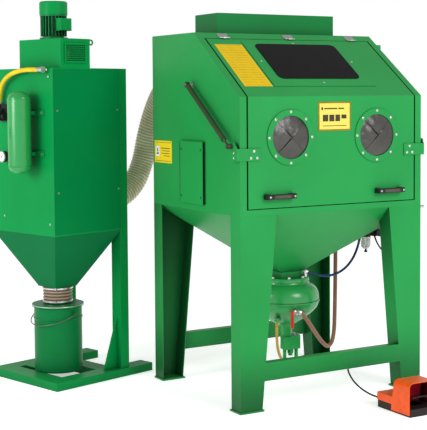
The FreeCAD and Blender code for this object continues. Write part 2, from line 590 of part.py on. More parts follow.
# ---- blast pot and grit valve ----------------------------------------------------------
POT_OUT = [(FLANGE_R, FLANGE_Z), (FLANGE_R, 505), (113, 505), (116, 494), (130, 488), (152, 469), (164, 444),
           (165, 413), (169, 412), (169, 404), (165, 403), (160, 384), (146, 364), (116, 336), (76,
               306), (50, 294),
           (36, 286), (34, 272), (34, 236)]
POT_IN = [(26, 236), (26, 274), (30, 289), (46, 300), (70, 312), (111, 343), (140, 370), (154, 388), (159,
    408),
          (158, 442), (148, 464), (127, 482), (105, 489), (72, 492), (60, FLANGE_Z)]
VALVE_X = 30.0
VALVE_HALF = (44.0, 27.0)
pot = turned(POT_OUT + POT_IN)
spider = fuse(box(-154, 154, -6, 6, 396, 404), rod(15, V(0, 0, 388), V(0, 0, 412)))
pot = fuse(pot, spider).cut(rod(8 + PIN_PLAY, V(0, 0, 380), V(0, 0, 420)))
grit_port = fuse(rod(11, V(-66, -54, 330), V(-106, -88, 330)), rod(11, V(-106, -88, 322.2), V(-106, -88,
    340)))
grit_port = grit_port.cut(turned([(0, 236), (26, 236), (56, 266), (108, 316), (142, 373), (0, 373)]))
save("blast_pot", fuse(pot, grit_port).cut(grit_hose))
popup = fuse(Part.makeCone(44, 14, 34, V(0, 0, 440)), rod(8, V(0, 0, 372), V(0, 0, 441)))
save("popup_valve", popup)
bolts = []
for k in range(8):
    turn = math.radians(22.5 + 45 * k)
    x, y = 103 * math.cos(turn), 103 * math.sin(turn)
    bolts.append(hex_head(V(x, y, FLANGE_Z + 6), (0, 0, 1), 13, 7, 9))
save("frame_bolts", *bolts)

vx, vy = VALVE_HALF
block = box(VALVE_X - vx, VALVE_X + vx, -vy, vy, 162, 228)
block = block.makeFillet(6, [e for e in block.Edges if abs(e.Length - 66) < 0.1])
neck = rod(25, V(6, 0, 228), V(6, 0, 236)).fuse(rod(36, V(0, 0, 232), V(0, 0, 236)))
outlet = fuse(rod(15, V(VALVE_X, 0, 140), V(VALVE_X, 0, 163)), rod(11, V(VALVE_X, 0, 128), V(VALVE_X, 0,
    141)))
feet_low = [rod(9, V(VALVE_X + dx, 0, 108), V(VALVE_X + dx, 0, 163)) for dx in (-34, 34)]
grit_valve = fuse(block, neck, outlet, *feet_low).cut(rod(14, V(0, 0, 180), V(0, 0, 240))).cut(grit_hose)
save("grit_valve", grit_valve)
save("frame_bolts", *[hex_head(V(x, y, 228), (0, 0, 1), 11, 6) for x in (44, 64) for y in (-18, 18)])

# Ball valve on the pot's front, with its red lever hanging down
BALL = V(-42, -164, 376)
pot_core = turned([(0, FLANGE_Z)] + POT_OUT + [(0, 236)])
ball_valve = fuse(rod(10, BALL + V(0, 40, 0), BALL), Part.makeSphere(16, BALL), rod(12, BALL + V(0, 8, 0),
    BALL + V(0, -20, 0)),
                  rod(12, BALL + V(-2, -20, 2), BALL + V(8, -23, -2)), rod(6, BALL, BALL + V(-22, 0, 0)))
ball_valve = ball_valve.cut([pot_core, blast_hose])
save("hose_fittings", ball_valve)
hub = BALL + V(-22.4, 0, 0)
lever = fuse(rod(9, hub, hub + V(-6, 0, 0)), box(hub.x - 6, hub.x, hub.y - 9, hub.y + 8, hub.z - 80, hub.z))
save("ball_lever", lever.makeFillet(2, [e for e in lever.Edges if e.CenterOfMass.z < hub.z - 79]))

# ---- air preparation unit on the front right corner ------------------------------------
FRL = V(416, -100, 0)
REG = V(474, -100, 0)
head = fuse(rod(24, FRL + V(0, 0, 700), FRL + V(0, 0, 735)), box(386, 446, -122, -78, 704, 732),
            rod(11, FRL + V(-40, 0, 718), FRL + V(58, 0, 718)), rod(8, V(382, -98, 706.2), V(382, -98, 718)),
            rod(7, V(446, -100, 716), V(446, -126, 714)))
reg = fuse(rod(22, REG + V(0, 0, 700), REG + V(0, 0, 742)), rod(15, REG + V(0, 0, 742), REG + V(0, 0, 756)))
gauge_at = REG + V(0, -22, 720)
dial = fuse(rod(20, gauge_at + V(0, -16, 0), gauge_at + V(0, -4, 0)), rod(6, gauge_at + V(0, -5, 0),
    gauge_at + V(0, 8, 0)))
drain = fuse(rod(5, FRL + V(0, 0, 628), FRL + V(0, 0, 640)), rod(8, FRL + V(0, 0, 622), FRL + V(0, 0, 630)))
save("frl_head", fuse(head, reg, dial).cut([air_hose, signal_hose]), drain)
bowl = turned([(0, 640), (14, 640), (23, 650), (24, 655), (24, 700), (20, 700), (20, 656), (12, 645), (0,
    645)],
              FRL.x, FRL.y)
save("frl_bowl", bowl)
knob = rod(18, REG + V(0, 0, 756.3), REG + V(0, 0, 792))
save("frl_knob", knob.makeFillet(3, [e for e in knob.Edges if e.CenterOfMass.z > 790]))
hanger = box(436, 500, -77.8, -72, 706, 730).fuse(box(470, 500, -77.8, -72, 706, BODY_BOTTOM))
hanger = hanger.cut([hopper_envelope, rod(22.2, REG + V(0, 0, 690), REG + V(0, 0, 760))])
save("unit_brackets", max(hanger.cut(box(400, 520, -90, -60, BODY_BOTTOM - SHEET, 900)).Solids,
                          key=lambda k: k.Volume))
nipple_at = V(482, -382, 866)
nipple = fuse(rod(6.5, nipple_at, nipple_at + V(64, 0, 0)), rod(11, nipple_at + V(-12, 0, 0),
    nipple_at + V(20, 0, 0)))
save("hose_fittings", nipple.cut(rod(4, nipple_at + V(-20, 0, 0), nipple_at + V(80, 0, 0))).cut(leg_fr))

# Elbows, ferrules and spigots that the hoses push on to
duct_out = pipe(SPIGOT_R, SPIGOT_R - 3, V(SPIGOT[0], HALF_D, SPIGOT[1]), V(SPIGOT[0], 462, SPIGOT[1]))
duct_rim = pipe(78, SPIGOT_R - 3, V(SPIGOT[0], HALF_D, SPIGOT[1]), V(SPIGOT[0], HALF_D + 3, SPIGOT[1]))
save("duct_spigots", fuse(duct_out, duct_rim))
fittings = [
    pipe(13, 8, V(296, -10, 708.2), V(297, -10, 742)).cut(hopper_envelope),
    fuse(rod(9, V(76, -82, 547), V(66, -78, 552)), rod(9, V(66, -78, 523.2), V(66, -78, 556))).cut(air_hose),
    fuse(rod(7, V(372, -376, 530), V(372, -376, 514)), rod(9, V(372, -376, 522), V(372, -407,
        522))).cut(signal_hose),
    rod(10, V(112, -356, 150.2), V(112, -356, 172)).fuse(box(104, 120, -371.5, -352, 160,
        168)).cut(pedal_hose),
]
save("hose_fittings", *fittings)

# ---- foot pedal ------------------------------------------------------------------------
PED_X = (94.0, 250.0)
PED_Y = (-835.0, -605.0)
px0, px1 = PED_X
base = box(px0 + 3, px1 - 3, PED_Y[0], PED_Y[1], 0, 34)
base = base.makeFillet(6, [e for e in base.Edges if abs(e.Length - 34) < 0.1])
base = base.cut(box(px0 + 8, px1 - 8, PED_Y[0] + 5, PED_Y[1] - 5, 5, 31))
base = base.cut(box(px0 + 30, px1 - 30, PED_Y[0] + 60, -700, 25, 40))
save("pedal_base", base.cut(pedal_hose))
HOOD_FRONT, HOOD_TOP, SKIRT_LOW, HOOD_WALL = -833.0, 150.0, 8.0, 3.0
HOOD_BACK = (-728.0, -706.0)
BASE_TOP, BLOCK_TOP = 34.0, 70.0
back_slope = (HOOD_BACK[1] - HOOD_BACK[0]) / (HOOD_TOP - SKIRT_LOW)


def hood_back(z):
    """Outside of the hood's leaning back wall at a height."""
    return HOOD_BACK[1] - (z - SKIRT_LOW) * back_slope


hood = poly_x([(HOOD_FRONT, SKIRT_LOW), (HOOD_FRONT, HOOD_TOP), (HOOD_BACK[0], HOOD_TOP), (HOOD_BACK[1],
    SKIRT_LOW)],
              px0, px1)
hood = hood.makeFillet(22, [e for e in hood.Edges if abs(e.CenterOfMass.z - HOOD_TOP) < 0.1
                            and abs(e.CenterOfMass.x - (px0 + px1) / 2) > 60])
roof_in = HOOD_TOP - HOOD_WALL
inside = poly_x([(HOOD_FRONT - 60, -1), (HOOD_FRONT - 60, roof_in), (hood_back(roof_in) - HOOD_WALL,
    roof_in),
                 (hood_back(-1) - HOOD_WALL, -1)], px0 + HOOD_WALL, px1 - HOOD_WALL)
inside = inside.makeFillet(19, [e for e in inside.Edges if abs(e.CenterOfMass.z - roof_in) < 0.1
                                and abs(e.CenterOfMass.x - (px0 + px1) / 2) > 60])
under = box(px0 + HOOD_WALL, px1 - HOOD_WALL, -900, -600, -1, BASE_TOP)
save("pedal_guard", hood.cut([inside, under]))
block = poly_x([(hood_back(BLOCK_TOP), BLOCK_TOP), (PED_Y[1] - 4, BLOCK_TOP), (PED_Y[1] - 1, BLOCK_TOP - 4),
                (PED_Y[1] - 1, BASE_TOP), (hood_back(BASE_TOP), BASE_TOP)], px0 + 1, px1 - 1)
block = block.makeFillet(4, [e for e in block.Edges if abs(e.CenterOfMass.z - BLOCK_TOP) < 0.1
                             and abs(e.CenterOfMass.x - (px0 + px1) / 2) > 60])
save("pedal_guard", block)
tread = poly_x([(-720, 55), (-734, 58), (-824, 80), (-824, 85), (-730, 62), (-720, 59)], px0 + 22, px1 - 22)
lug_parts = [box(x, x + 6, -734, -720, 44, 60) for x in (px0 + 24, px1 - 30)]
save("pedal_treadle", fuse(tread, *lug_parts).cut(rod(3 + PIN_PLAY, V(px0, -727, 50), V(px1, -727, 50))))
save("hinge_leaves", rod(3, V(px0 + HOOD_WALL, -727, 50), V(px1 - HOOD_WALL, -727, 50)))

# ---- dust collector --------------------------------------------------------------------
A, B = DC_A, DC_B
z0, z1 = DC_Z
casing = box(0, A, 0, B, z0, z1).cut(box(3, A - 3, 3, B - 3, z0 - 1, z1 - 3))
casing = casing.cut(box(16, A - 16, -1, 9, z0 + 40, z1 - 40))
fan_eye = rod(62, V(139, 163, z1 - 9), V(139, 163, z1 + 9))
inlet_hole = rod(SPIGOT_R - 3, V(A - 9, DC_MID[1], 863), V(A + 9, DC_MID[1], 863))
cell = box(3, A - 3, 3, B - 3, 1440, 1443).cut(rod(110, V(*DC_MID, 1430), V(*DC_MID, 1450)))
save("dc_casing", fuse(casing.cut([fan_eye, inlet_hole]), cell), dc=True)
panel = box(4, A - 4, -2.5, 0, z0 + 8, z1 - 8)
save("sheet_covers", panel, dc=True)
low = (DC_OUT, DC_OUT)
high = (A / 2, B / 2)
cone = pyramid(low, high, DC_OUT_Z, z0 - 0.0, DC_MID)
cone_in = pyramid((DC_OUT - 4, DC_OUT - 4), (A / 2 - 4, B / 2 - 4), DC_OUT_Z - 0.01, z0 + 0.01, DC_MID)
throat = pipe(66, 63, V(*DC_MID, DC_OUT_Z - 26), V(*DC_MID, DC_OUT_Z)).fuse(
    box(DC_MID[0] - 69, DC_MID[0] + 69, DC_MID[1] - 69, DC_MID[1] + 69, DC_OUT_Z - 3, DC_OUT_Z).cut(
        rod(63, V(*DC_MID, 400), V(*DC_MID, 500))))
save("dc_hopper", fuse(cone.cut(cone_in), throat), dc=True)

posts = [box(A, 470, y, y + 65, 40, z1) for y in (12, 428)]
inlet_pipe = pipe(SPIGOT_R, SPIGOT_R - 3, V(A, DC_MID[1], 863), V(470, DC_MID[1], 863))
inlet_rim = pipe(78, SPIGOT_R - 3, V(A, DC_MID[1], 863), V(A + 3, DC_MID[1], 863))
rails = [box(0, 618, 0, 90, 0, 40), box(0, 618, 430, 525, 0, 40), box(0, 100, 90, 430, 0, 40),
         box(320, 415, 90, 430, 0, 40)]
tray = box(140, 320, 200, 430, 36, 40)
gussets = [poly_y([(330, 40), (A, 40), (A, 300)], y + 28, y + 37) for y in (12, 428)]
save("dc_frame", *posts, *rails, tray, *gussets, dc=True)
save("duct_spigots", fuse(inlet_pipe, inlet_rim), dc=True)
dc_screws = [hex_head(V(a, -2.5, z), (0, -1, 0), 10, 4) for a in (22, 396) for z in (1340, 950)]
dc_screws += [hex_head(V(0, b, z), (-1, 0, 0), 10, 4) for b, z in ((392, 820), (470, 1500), (30, 1500), (30,
    800))]
save("frame_bolts", *dc_screws, dc=True)

cartridge = pipe(135, 100, V(*DC_MID, 905), V(*DC_MID, 1428))
ends = [rod(138, V(*DC_MID, 893), V(*DC_MID, 905)), pipe(138, 100, V(*DC_MID, 1428), V(*DC_MID, 1440))]
save("filter_cartridge", fuse(cartridge, *ends), dc=True)

save("fan_housing", box(50, 228, 0, 320, z1, 1682).cut(
    [box(53, 225, 3, 317, z1 + 3, 1679), rod(62, V(139, 163, z1 - 1), V(139, 163, z1 + 9)),
     box(78, 197, -1, 9, 1573, 1654), rod(20, V(139, 163, 1670), V(139, 163, 1690))]), dc=True)
grille = box(71, 204, -6, 0, 1566, 1661).cut(box(80, 195, -9, 9, 1575, 1652))
slats = [box(79, 196, -4, -2, z - 2, z + 2) for z in range(1582, 1650, 9)]
sticks = [box(a - 1.5, a + 1.5, -5.5, -3.5, 1574, 1653) for a in range(90, 192, 12)]
save("fan_covers", fuse(grille, *slats, *sticks), dc=True)
motor_axis = V(139, 163, 0)
hub = fuse(rod(24, motor_axis + V(0, 0, 1575), motor_axis + V(0, 0, 1640)), rod(9, motor_axis + V(0, 0,
    1630),
           motor_axis + V(0, 0, 1700)), rod(78, motor_axis + V(0, 0, 1636), motor_axis + V(0, 0, 1640)))
blades = []
for k in range(10):
    blade = box(22, 76, -1.5, 1.5, 1580, 1637).rotate(V(22, 0, 0), V(0, 0, 1), 28)
    blades.append(blade.rotate(V(0, 0, 0), V(0, 0, 1), 36 * k).translate(motor_axis))
save("fan_impeller", fuse(hub, *blades), dc=True)
motor = rod(50, motor_axis + V(0, 0, 1690), motor_axis + V(0, 0, 1800))
fins = []
for k in range(24):
    fins.append(box(46, 64, -1.6, 1.6, 1698, 1796).rotate(V(0, 0, 0), V(0, 0, 1),
                                                          15 * k).translate(motor_axis))
flange = rod(68, motor_axis + V(0, 0, 1682), motor_axis + V(0, 0, 1692))
end_bell = rod(66, motor_axis + V(0, 0, 1794), motor_axis + V(0, 0, 1802))
motor = fuse(motor, flange, end_bell, *fins).cut(rod(9 + PIN_PLAY, motor_axis + V(0, 0, 1680),
                                                     motor_axis + V(0, 0, 1702)))
save("fan_motor", motor, dc=True)
cowl = rod(68, motor_axis + V(0, 0, 1802), motor_axis + V(0, 0, 1866))
cowl = cowl.makeFillet(10, [e for e in cowl.Edges if e.CenterOfMass.z > 1860])
save("fan_covers", cowl.cut(rod(64, motor_axis + V(0, 0, 1801), motor_axis + V(0, 0, 1858))), dc=True)
term = box(104, 174, 66, 98.4, 1722, 1782)
term = term.makeFillet(4, [e for e in term.Edges if e.CenterOfMass.y < 71])
save("fan_covers", term, dc=True)

tank_r = 56.0
tz0, tz1 = 1040.0, 1432.0
capsule = rod(tank_r, V(-75, 161, tz0 + 34), V(-75, 161, tz1 - 34))
capsule = fuse(capsule, turned([(0, tz1 - 36), (56, tz1 - 36), (55, tz1 - 30), (47, tz1 - 15), (32, tz1 - 5),
                                (14, tz1), (0, tz1)], -75, 161),
               turned([(0, tz0 + 36), (56, tz0 + 36), (55, tz0 + 30), (47, tz0 + 15), (32, tz0 + 5), (14,
                   tz0),
                       (0, tz0)], -75, 161))
save("air_tank", capsule, dc=True)
feet = []
for z in (1134, 1329):
    tie = fuse(box(-30, 0, 132, 174, z - 9, z + 9), box(-4, 0, 66, 176, z - 14, z + 14))
    feet.append(tie.cut(rod(tank_r + 0.02, V(-75, 161, z - 40), V(-75, 161, z + 40))))
save("frame_bolts", *[hex_head(V(-4, 82, z), (-1, 0, 0), 11, 6) for z in (1134, 1329)], dc=True)
save("unit_brackets", *feet, dc=True)
save("unit_brackets", Part.makeTorus(11, 4, V(243.2, 10, 1666), V(0, 1, 0)), dc=True)

VALVE_B = 390.0
pulse = fuse(box(-46, -4, VALVE_B - 18, VALVE_B + 18, 1292, 1334), rod(17, V(-25, VALVE_B, 1334), V(-25,
    VALVE_B, 1350)),
             rod(9, V(-25, VALVE_B, 1350), V(-25, VALVE_B, 1372)), rod(12, V(-25, VALVE_B - 40, 1312), V(-25,
                 VALVE_B - 17, 1312)),
             box(-4, 0, VALVE_B - 26, VALVE_B + 26, 1286, 1372))
save("pulse_valve", pulse, dc=True)
g_at = V(-34, 350, 1115)
gauge = fuse(rod(27.5, g_at + V(-12, 0, 0), g_at + V(10, 0, 0)), rod(7, g_at, V(0, 350, 1115)),
             box(-8, 0, 332, 368, 1097, 1133))
save("pulse_valve", gauge, dc=True)
nip = fuse(rod(12, V(-28, 42, 1533), V(-28, 74, 1534)), rod(9, V(-28, 50, 1533), V(0, 44, 1533)),
           rod(15, V(-28, 34, 1533), V(-28, 48, 1533)))
low_nip = rod(12, V(-25, 390, 1372.2), V(-25, 390, 1382))
save("hose_fittings", nip.cut([casing, pulse_hose]), low_nip.cut(pulse_hose), dc=True)

# Bucket under the collector, its lid, sleeve and clamps
cx, cy = DC_MID
bucket = turned([(0, 42), (116, 42), (119, 46), (119, 362), (129, 363), (129, 369), (117.5, 369), (117.5,
    46),
                 (0, 44.5)], cx, cy)
bead = turned([(119, 300), (122.5, 304), (122.5, 308), (119, 312)], cx, cy)
save("bucket", fuse(bucket, bead, turned([(0, 40), (118, 40), (118, 42.2), (0, 42.2)], cx, cy)), dc=True)
save("bucket", turned([(60, 369), (129, 369), (129, 374), (66, 376), (66, 392), (60, 392)], cx, cy), dc=True)
SLEEVE = [(66.1, 378), (72, 378), (72, 392), (69, 398), (75, 406), (69, 414), (75, 422), (69, 430), (75,
    438), (72, 446),
          (72, 460), (66.1, 460)]
save("sleeve", turned(SLEEVE, cx, cy), dc=True)
BAIL_R = 143.0
BAIL_Y = 138.0
bail_path = []
for k in range(13):
    turn = math.radians(4 + 172 * k / 12)
    reach = BAIL_R * math.sin(turn)
    bail_path.append(V(cx - reach * 0.93, cy - BAIL_Y * math.cos(turn), 330 - reach * 0.37))
curve = Part.BSplineCurve()
curve.interpolate(bail_path)
ring_at = Part.Wire(Part.makeCircle(2.5, bail_path[0], bail_path[1] - bail_path[0]))
bail = Part.Wire(curve.toShape()).makePipeShell([ring_at], True, False)
for s in (-1, 1):
    bail = bail.fuse(rod(8, V(cx, cy + s * 135.6, 330), V(cx, cy + s * 140.4, 330)))
for s in (-1, 1):
    bail = bail.cut(rod(4.3, V(cx, cy + s * 130, 330), V(cx, cy + s * 150, 330)))
save("bucket_bail", bail, dc=True)
ears = [fuse(rod(10, V(cx, cy + s * 110, 330), V(cx, cy + s * 124, 330)),
             rod(4, V(cx, cy + s * 110, 330), V(cx, cy + s * 142, 330)),
             rod(7, V(cx, cy + s * 124, 330), V(cx, cy + s * 135, 330))) for s in (-1, 1)]
save("bucket", *[e.cut(rod(119, V(cx, cy, 0), V(cx, cy, 400))) for e in ears], dc=True)

export_parts()
whole = Part.makeCompound([s for name, solids in parts.items() for s in solids])
bb = whole.BoundBox
print(len(parts), "nodes; X", round(bb.XMin), round(bb.XMax), "Y", round(bb.YMin), round(bb.YMax),
      "Z", round(bb.ZMin, 1), round(bb.ZMax, 1))
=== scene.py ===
"""Looks for a pressure-fed sandblast cabinet with its dust collector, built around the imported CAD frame.

Everything is in metres in the row frame: +X to the operator's right, +Y to the back, +Z up, floor at z = 0.
Places on the cabinet are written in millimetres from the point on the floor under its centre, and places on
the dust collector in millimetres along its own turned axes; `cab` and `dc` turn them into the row frame.
"""

from __future__ import annotations

import json
import logging
import math
from dataclasses import dataclass, field
from enum import Enum
from typing import Callable, Iterable, Sequence, Union

import bmesh
import bpy
from mathutils import Matrix, Vector

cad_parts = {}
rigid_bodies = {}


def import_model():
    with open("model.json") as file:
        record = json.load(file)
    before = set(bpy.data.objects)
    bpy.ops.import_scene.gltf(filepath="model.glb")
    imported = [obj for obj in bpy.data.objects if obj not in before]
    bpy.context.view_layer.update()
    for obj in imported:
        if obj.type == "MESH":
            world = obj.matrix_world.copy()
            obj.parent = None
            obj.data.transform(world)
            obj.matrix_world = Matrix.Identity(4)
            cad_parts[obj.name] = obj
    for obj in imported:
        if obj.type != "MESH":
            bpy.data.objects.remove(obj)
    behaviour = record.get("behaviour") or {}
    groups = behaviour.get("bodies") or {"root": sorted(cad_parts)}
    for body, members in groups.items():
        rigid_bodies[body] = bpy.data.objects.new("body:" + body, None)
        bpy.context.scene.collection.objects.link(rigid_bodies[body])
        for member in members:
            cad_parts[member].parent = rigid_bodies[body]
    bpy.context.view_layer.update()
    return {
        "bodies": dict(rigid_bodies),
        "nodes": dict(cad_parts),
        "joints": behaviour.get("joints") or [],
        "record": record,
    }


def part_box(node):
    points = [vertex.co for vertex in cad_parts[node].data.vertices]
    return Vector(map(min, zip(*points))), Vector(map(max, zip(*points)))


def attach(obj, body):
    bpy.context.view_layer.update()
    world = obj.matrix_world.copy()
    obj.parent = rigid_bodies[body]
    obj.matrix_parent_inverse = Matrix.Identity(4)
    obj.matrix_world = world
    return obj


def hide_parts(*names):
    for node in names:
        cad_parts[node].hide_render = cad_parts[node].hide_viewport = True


LOG = logging.getLogger("scene")
MM = 0.001

Point = Sequence[float]
Outline = Sequence[tuple[float, float]]
Value = Union[float, Sequence[float], bpy.types.NodeSocket]
Place = Callable[[float, float, float], Vector]


class Body(str, Enum):
    """The moving bodies that pieces ride on."""

    FRAME = "frame"
    DOOR = "front_door"


class Stiffness(Enum):
    """How easily a hose bends."""

    LIMP = "limp"
    MEDIUM = "medium"


class Lay(Enum):
    """How a hose lies at rest."""

    HANGING = "hanging"
    LOOSE = "loose"


class Coat(Enum):
    """The finishes that pieces choose from."""

    GREEN = "green"
    GREEN_SIDE = "green_side"
    GREEN_DEEP = "green_deep"
    GREEN_STAND = "green_stand"
    GREEN_ROOF = "green_roof"
    GREEN_BUCKET = "green_bucket"
    GREEN_MOTOR = "green_motor"
    WIRE = "wire"
    STEEL = "steel"
    IRON = "iron"
    BLACK = "black"
    STRUT = "strut"
    RUBBER = "rubber"
    SEAL = "seal"
    GLOVE = "glove"
    WINDOW = "window"
    DIFFUSER = "diffuser"
    BOWL = "bowl"
    PLATE = "plate"
    WARNING = "warning"
    NAME = "name"
    NAME_RIM = "name_rim"
    INK = "ink"
    WHITE = "white"
    DUCT = "duct"
    SLEEVE = "sleeve"
    HOSE_BROWN = "hose_brown"
    HOSE_BLUE = "hose_blue"
    HOSE_BLACK = "hose_black"
    HOSE_YELLOW = "hose_yellow"
    HOSE_AMBER = "hose_amber"
    ORANGE = "orange"
    PEDAL_DARK = "pedal_dark"
    GREEN_GLOSS = "green_gloss"
    GREEN_PANEL = "green_panel"
    GREEN_LOW = "green_low"
    LINER = "liner"
    GRIP = "grip"
    JOINT = "joint"
    RED = "red"
    MEDIA = "media"
    GRATE = "grate"


@dataclass(frozen=True)
class Cabinet:
    """Driving sizes of the cabinet, in millimetres from its own centre on the floor."""

    half_width: float = 505.0
    half_depth: float = 411.7
    bottom: float = 880.0
    roof: float = 1698.0
    bend_z: float = 1401.0
    slope_top_y: float = -6.0
    door_half: float = 462.0
    port_x: float = 240.0
    port_z: float = 1218.0
    port_r: float = 99.0
    window_v: tuple[float, float] = (130.4, 409.7)
    instruction_x: tuple[float, float] = (-440.0, -293.0)
    instruction_v: tuple[float, float] = (76.0, 406.0)

    @property
    def slope(self) -> float:
        """Angle of the sloped front above the horizontal."""
        return math.atan2(self.roof - self.bend_z, self.slope_top_y + self.half_depth)


CAB = Cabinet()
SLOPE_LENGTH = math.hypot(CAB.roof - CAB.bend_z, CAB.slope_top_y + CAB.half_depth)
DOOR_START = 49.5
DOOR_BOTTOM = 907.0
STRUT_FOOT = (-0.487, 1.184)         # y and z of the strut's ball, in metres of the row frame
DC_CORNER = Vector((-1040.5, 394.4, 0.0))
DC_TURN = math.radians(15.84)
ORIGIN = Vector((0.0, 0.0, 0.0))  # set from the frame once it is loaded


def cab(x: float, y: float, z: float) -> Vector:
    """A place on the cabinet, in the row frame."""
    return ORIGIN + Vector((x, y, z)) * MM


def dc(a: float, b: float, z: float) -> Vector:
    """A place on the dust collector, in the row frame."""
    turned = Matrix.Rotation(DC_TURN, 3, "Z") @ Vector((a, b, z))
    return ORIGIN + (DC_CORNER + turned) * MM


def on_slope(x: float, v: float, h: float) -> Vector:
    """A place on the sloped front: x across, v up the slope from the bend, h outwards.

    Args:
        x: Place across, in millimetres.
        v: Place up the slope.
        h: Height above the slope.

    Returns:
        The place in the row frame.
    """
    s = CAB.slope
    return cab(x, -CAB.half_depth + v * math.cos(s) - h * math.sin(s),
               CAB.bend_z + v * math.sin(s) + h * math.cos(s))


# ---- shader helpers --------------------------------------------------------------------


class Shader:
    """A small builder for one node tree, material or group."""

    def __init__(self, tree: bpy.types.NodeTree) -> None:
        """Start work in a tree."""
        self.tree = tree

    def add(self, kind: str, values: dict | None = None, **props) -> bpy.types.Node:
        """Add a node, set its properties and the values or links of its inputs.

        Args:
            kind: The node's type.
            values: Values or links for its inputs.
            props: Settings of the node itself.

        Returns:
            The new node.
        """
        node = self.tree.nodes.new(kind)
        for key, value in props.items():
            setattr(node, key, value)
        for key, value in (values or {}).items():
            self.put(node, key, value)
        return node

    def put(self, node: bpy.types.Node, key: int | str, value: Value) -> None:
        """Link a socket, or write a plain value, into one input.

        Args:
            node: The node whose input is set.
            key: The input's name or number.
            value: A socket to link, or a plain value.
        """
        socket = node.inputs[key]
        if isinstance(value, bpy.types.NodeSocket):
            self.tree.links.new(value, socket)
        else:
            socket.default_value = value

    def math(self, operation: str, a: Value, b: Value = 0.0, c: Value = 0.0,
             clamp: bool = False) -> bpy.types.NodeSocket:
        """A Math node's result.

        Args:
            operation: The node's operation.
            a: The first input.
            b: The second input.
            c: The third input.
            clamp: Whether the result stays within 0 and 1.

        Returns:
            The result's socket.
        """
        node = self.add("ShaderNodeMath", operation=operation, use_clamp=clamp)
        for k, value in enumerate((a, b, c)):
            self.put(node, k, value)
        return node.outputs[0]

    def ramp(self, factor: Value, stops: Sequence[tuple[float, Sequence[float]]]) -> bpy.types.NodeSocket:
        """A colour ramp through (place, colour) stops.

        Args:
            factor: The value that the ramp reads.
            stops: Places and colours along the ramp.

        Returns:
            The colour's socket.
        """
        node = self.add("ShaderNodeValToRGB", {"Fac": factor})
        ramp = node.color_ramp
        while len(ramp.elements) < len(stops):
            ramp.elements.new(0.5)
        for element, (place, colour) in zip(ramp.elements, stops):
            element.position = place
            element.color = (*colour, 1.0) if len(colour) == 3 else colour
        return node.outputs[0]

    def mix(self, factor: Value, a: Value, b: Value, blend: str = "MIX") -> bpy.types.NodeSocket:
        """Mix two colours.

        Args:
            factor: How much of the second colour shows.
            a: The first colour.
            b: The second colour.
            blend: How the two colours mix.

        Returns:
            The colour's socket.
        """
        node = self.add("ShaderNodeMix", data_type="RGBA", blend_type=blend)
        self.put(node, 0, factor)
        self.put(node, 6, a)
        self.put(node, 7, b)
        return node.outputs[2]

    def noise(self, scale: float, detail: float = 3.0,
              vector: bpy.types.NodeSocket | None = None) -> bpy.types.NodeSocket:
        """A noise texture on Object coordinates, or on another vector.

        Args:
            scale: How fine the pattern is.
            detail: How many finer layers it has.
            vector: Other coordinates, if any.

        Returns:
            The pattern's socket.
        """
        place = vector or self.add("ShaderNodeTexCoord").outputs["Object"]
        node = self.add("ShaderNodeTexNoise", {"Vector": place, "Scale": scale, "Detail": detail})
        return node.outputs["Fac"]


def rgb(red: float, green: float, blue: float) -> tuple[float, float, float, float]:
    """A linear colour with full alpha."""
    return (red, green, blue, 1.0)


def edge_group() -> bpy.types.NodeTree:
    """Rounded-edge normal and a mask of the edges themselves, shared by every hard-surface finish; the mask
    drives the powder coat's painted edge highlight.

    Returns:
        The shared group.
    """
    tree = bpy.data.node_groups.new("EdgeFinish", "ShaderNodeTree")
    tree.interface.new_socket("Radius", in_out="INPUT", socket_type="NodeSocketFloat").default_value = 0.0015
    tree.interface.new_socket("Normal", in_out="OUTPUT", socket_type="NodeSocketVector")
    tree.interface.new_socket("Edge", in_out="OUTPUT", socket_type="NodeSocketFloat")
    s = Shader(tree)
    source = s.add("NodeGroupInput")
    target = s.add("NodeGroupOutput")
    bevel = s.add("ShaderNodeBevel", {"Radius": source.outputs[0]}, samples=4)
    flat = s.add("ShaderNodeNewGeometry")
    dot = s.add("ShaderNodeVectorMath", {0: bevel.outputs[0], 1: flat.outputs["Normal"]},
                operation="DOT_PRODUCT")
    edge = s.math("SUBTRACT", 1.0, dot.outputs["Value"], clamp=True)
    s.put(target, 0, bevel.outputs[0])
    s.put(target, 1, s.math("MULTIPLY", edge, 6.0, clamp=True))
    return tree


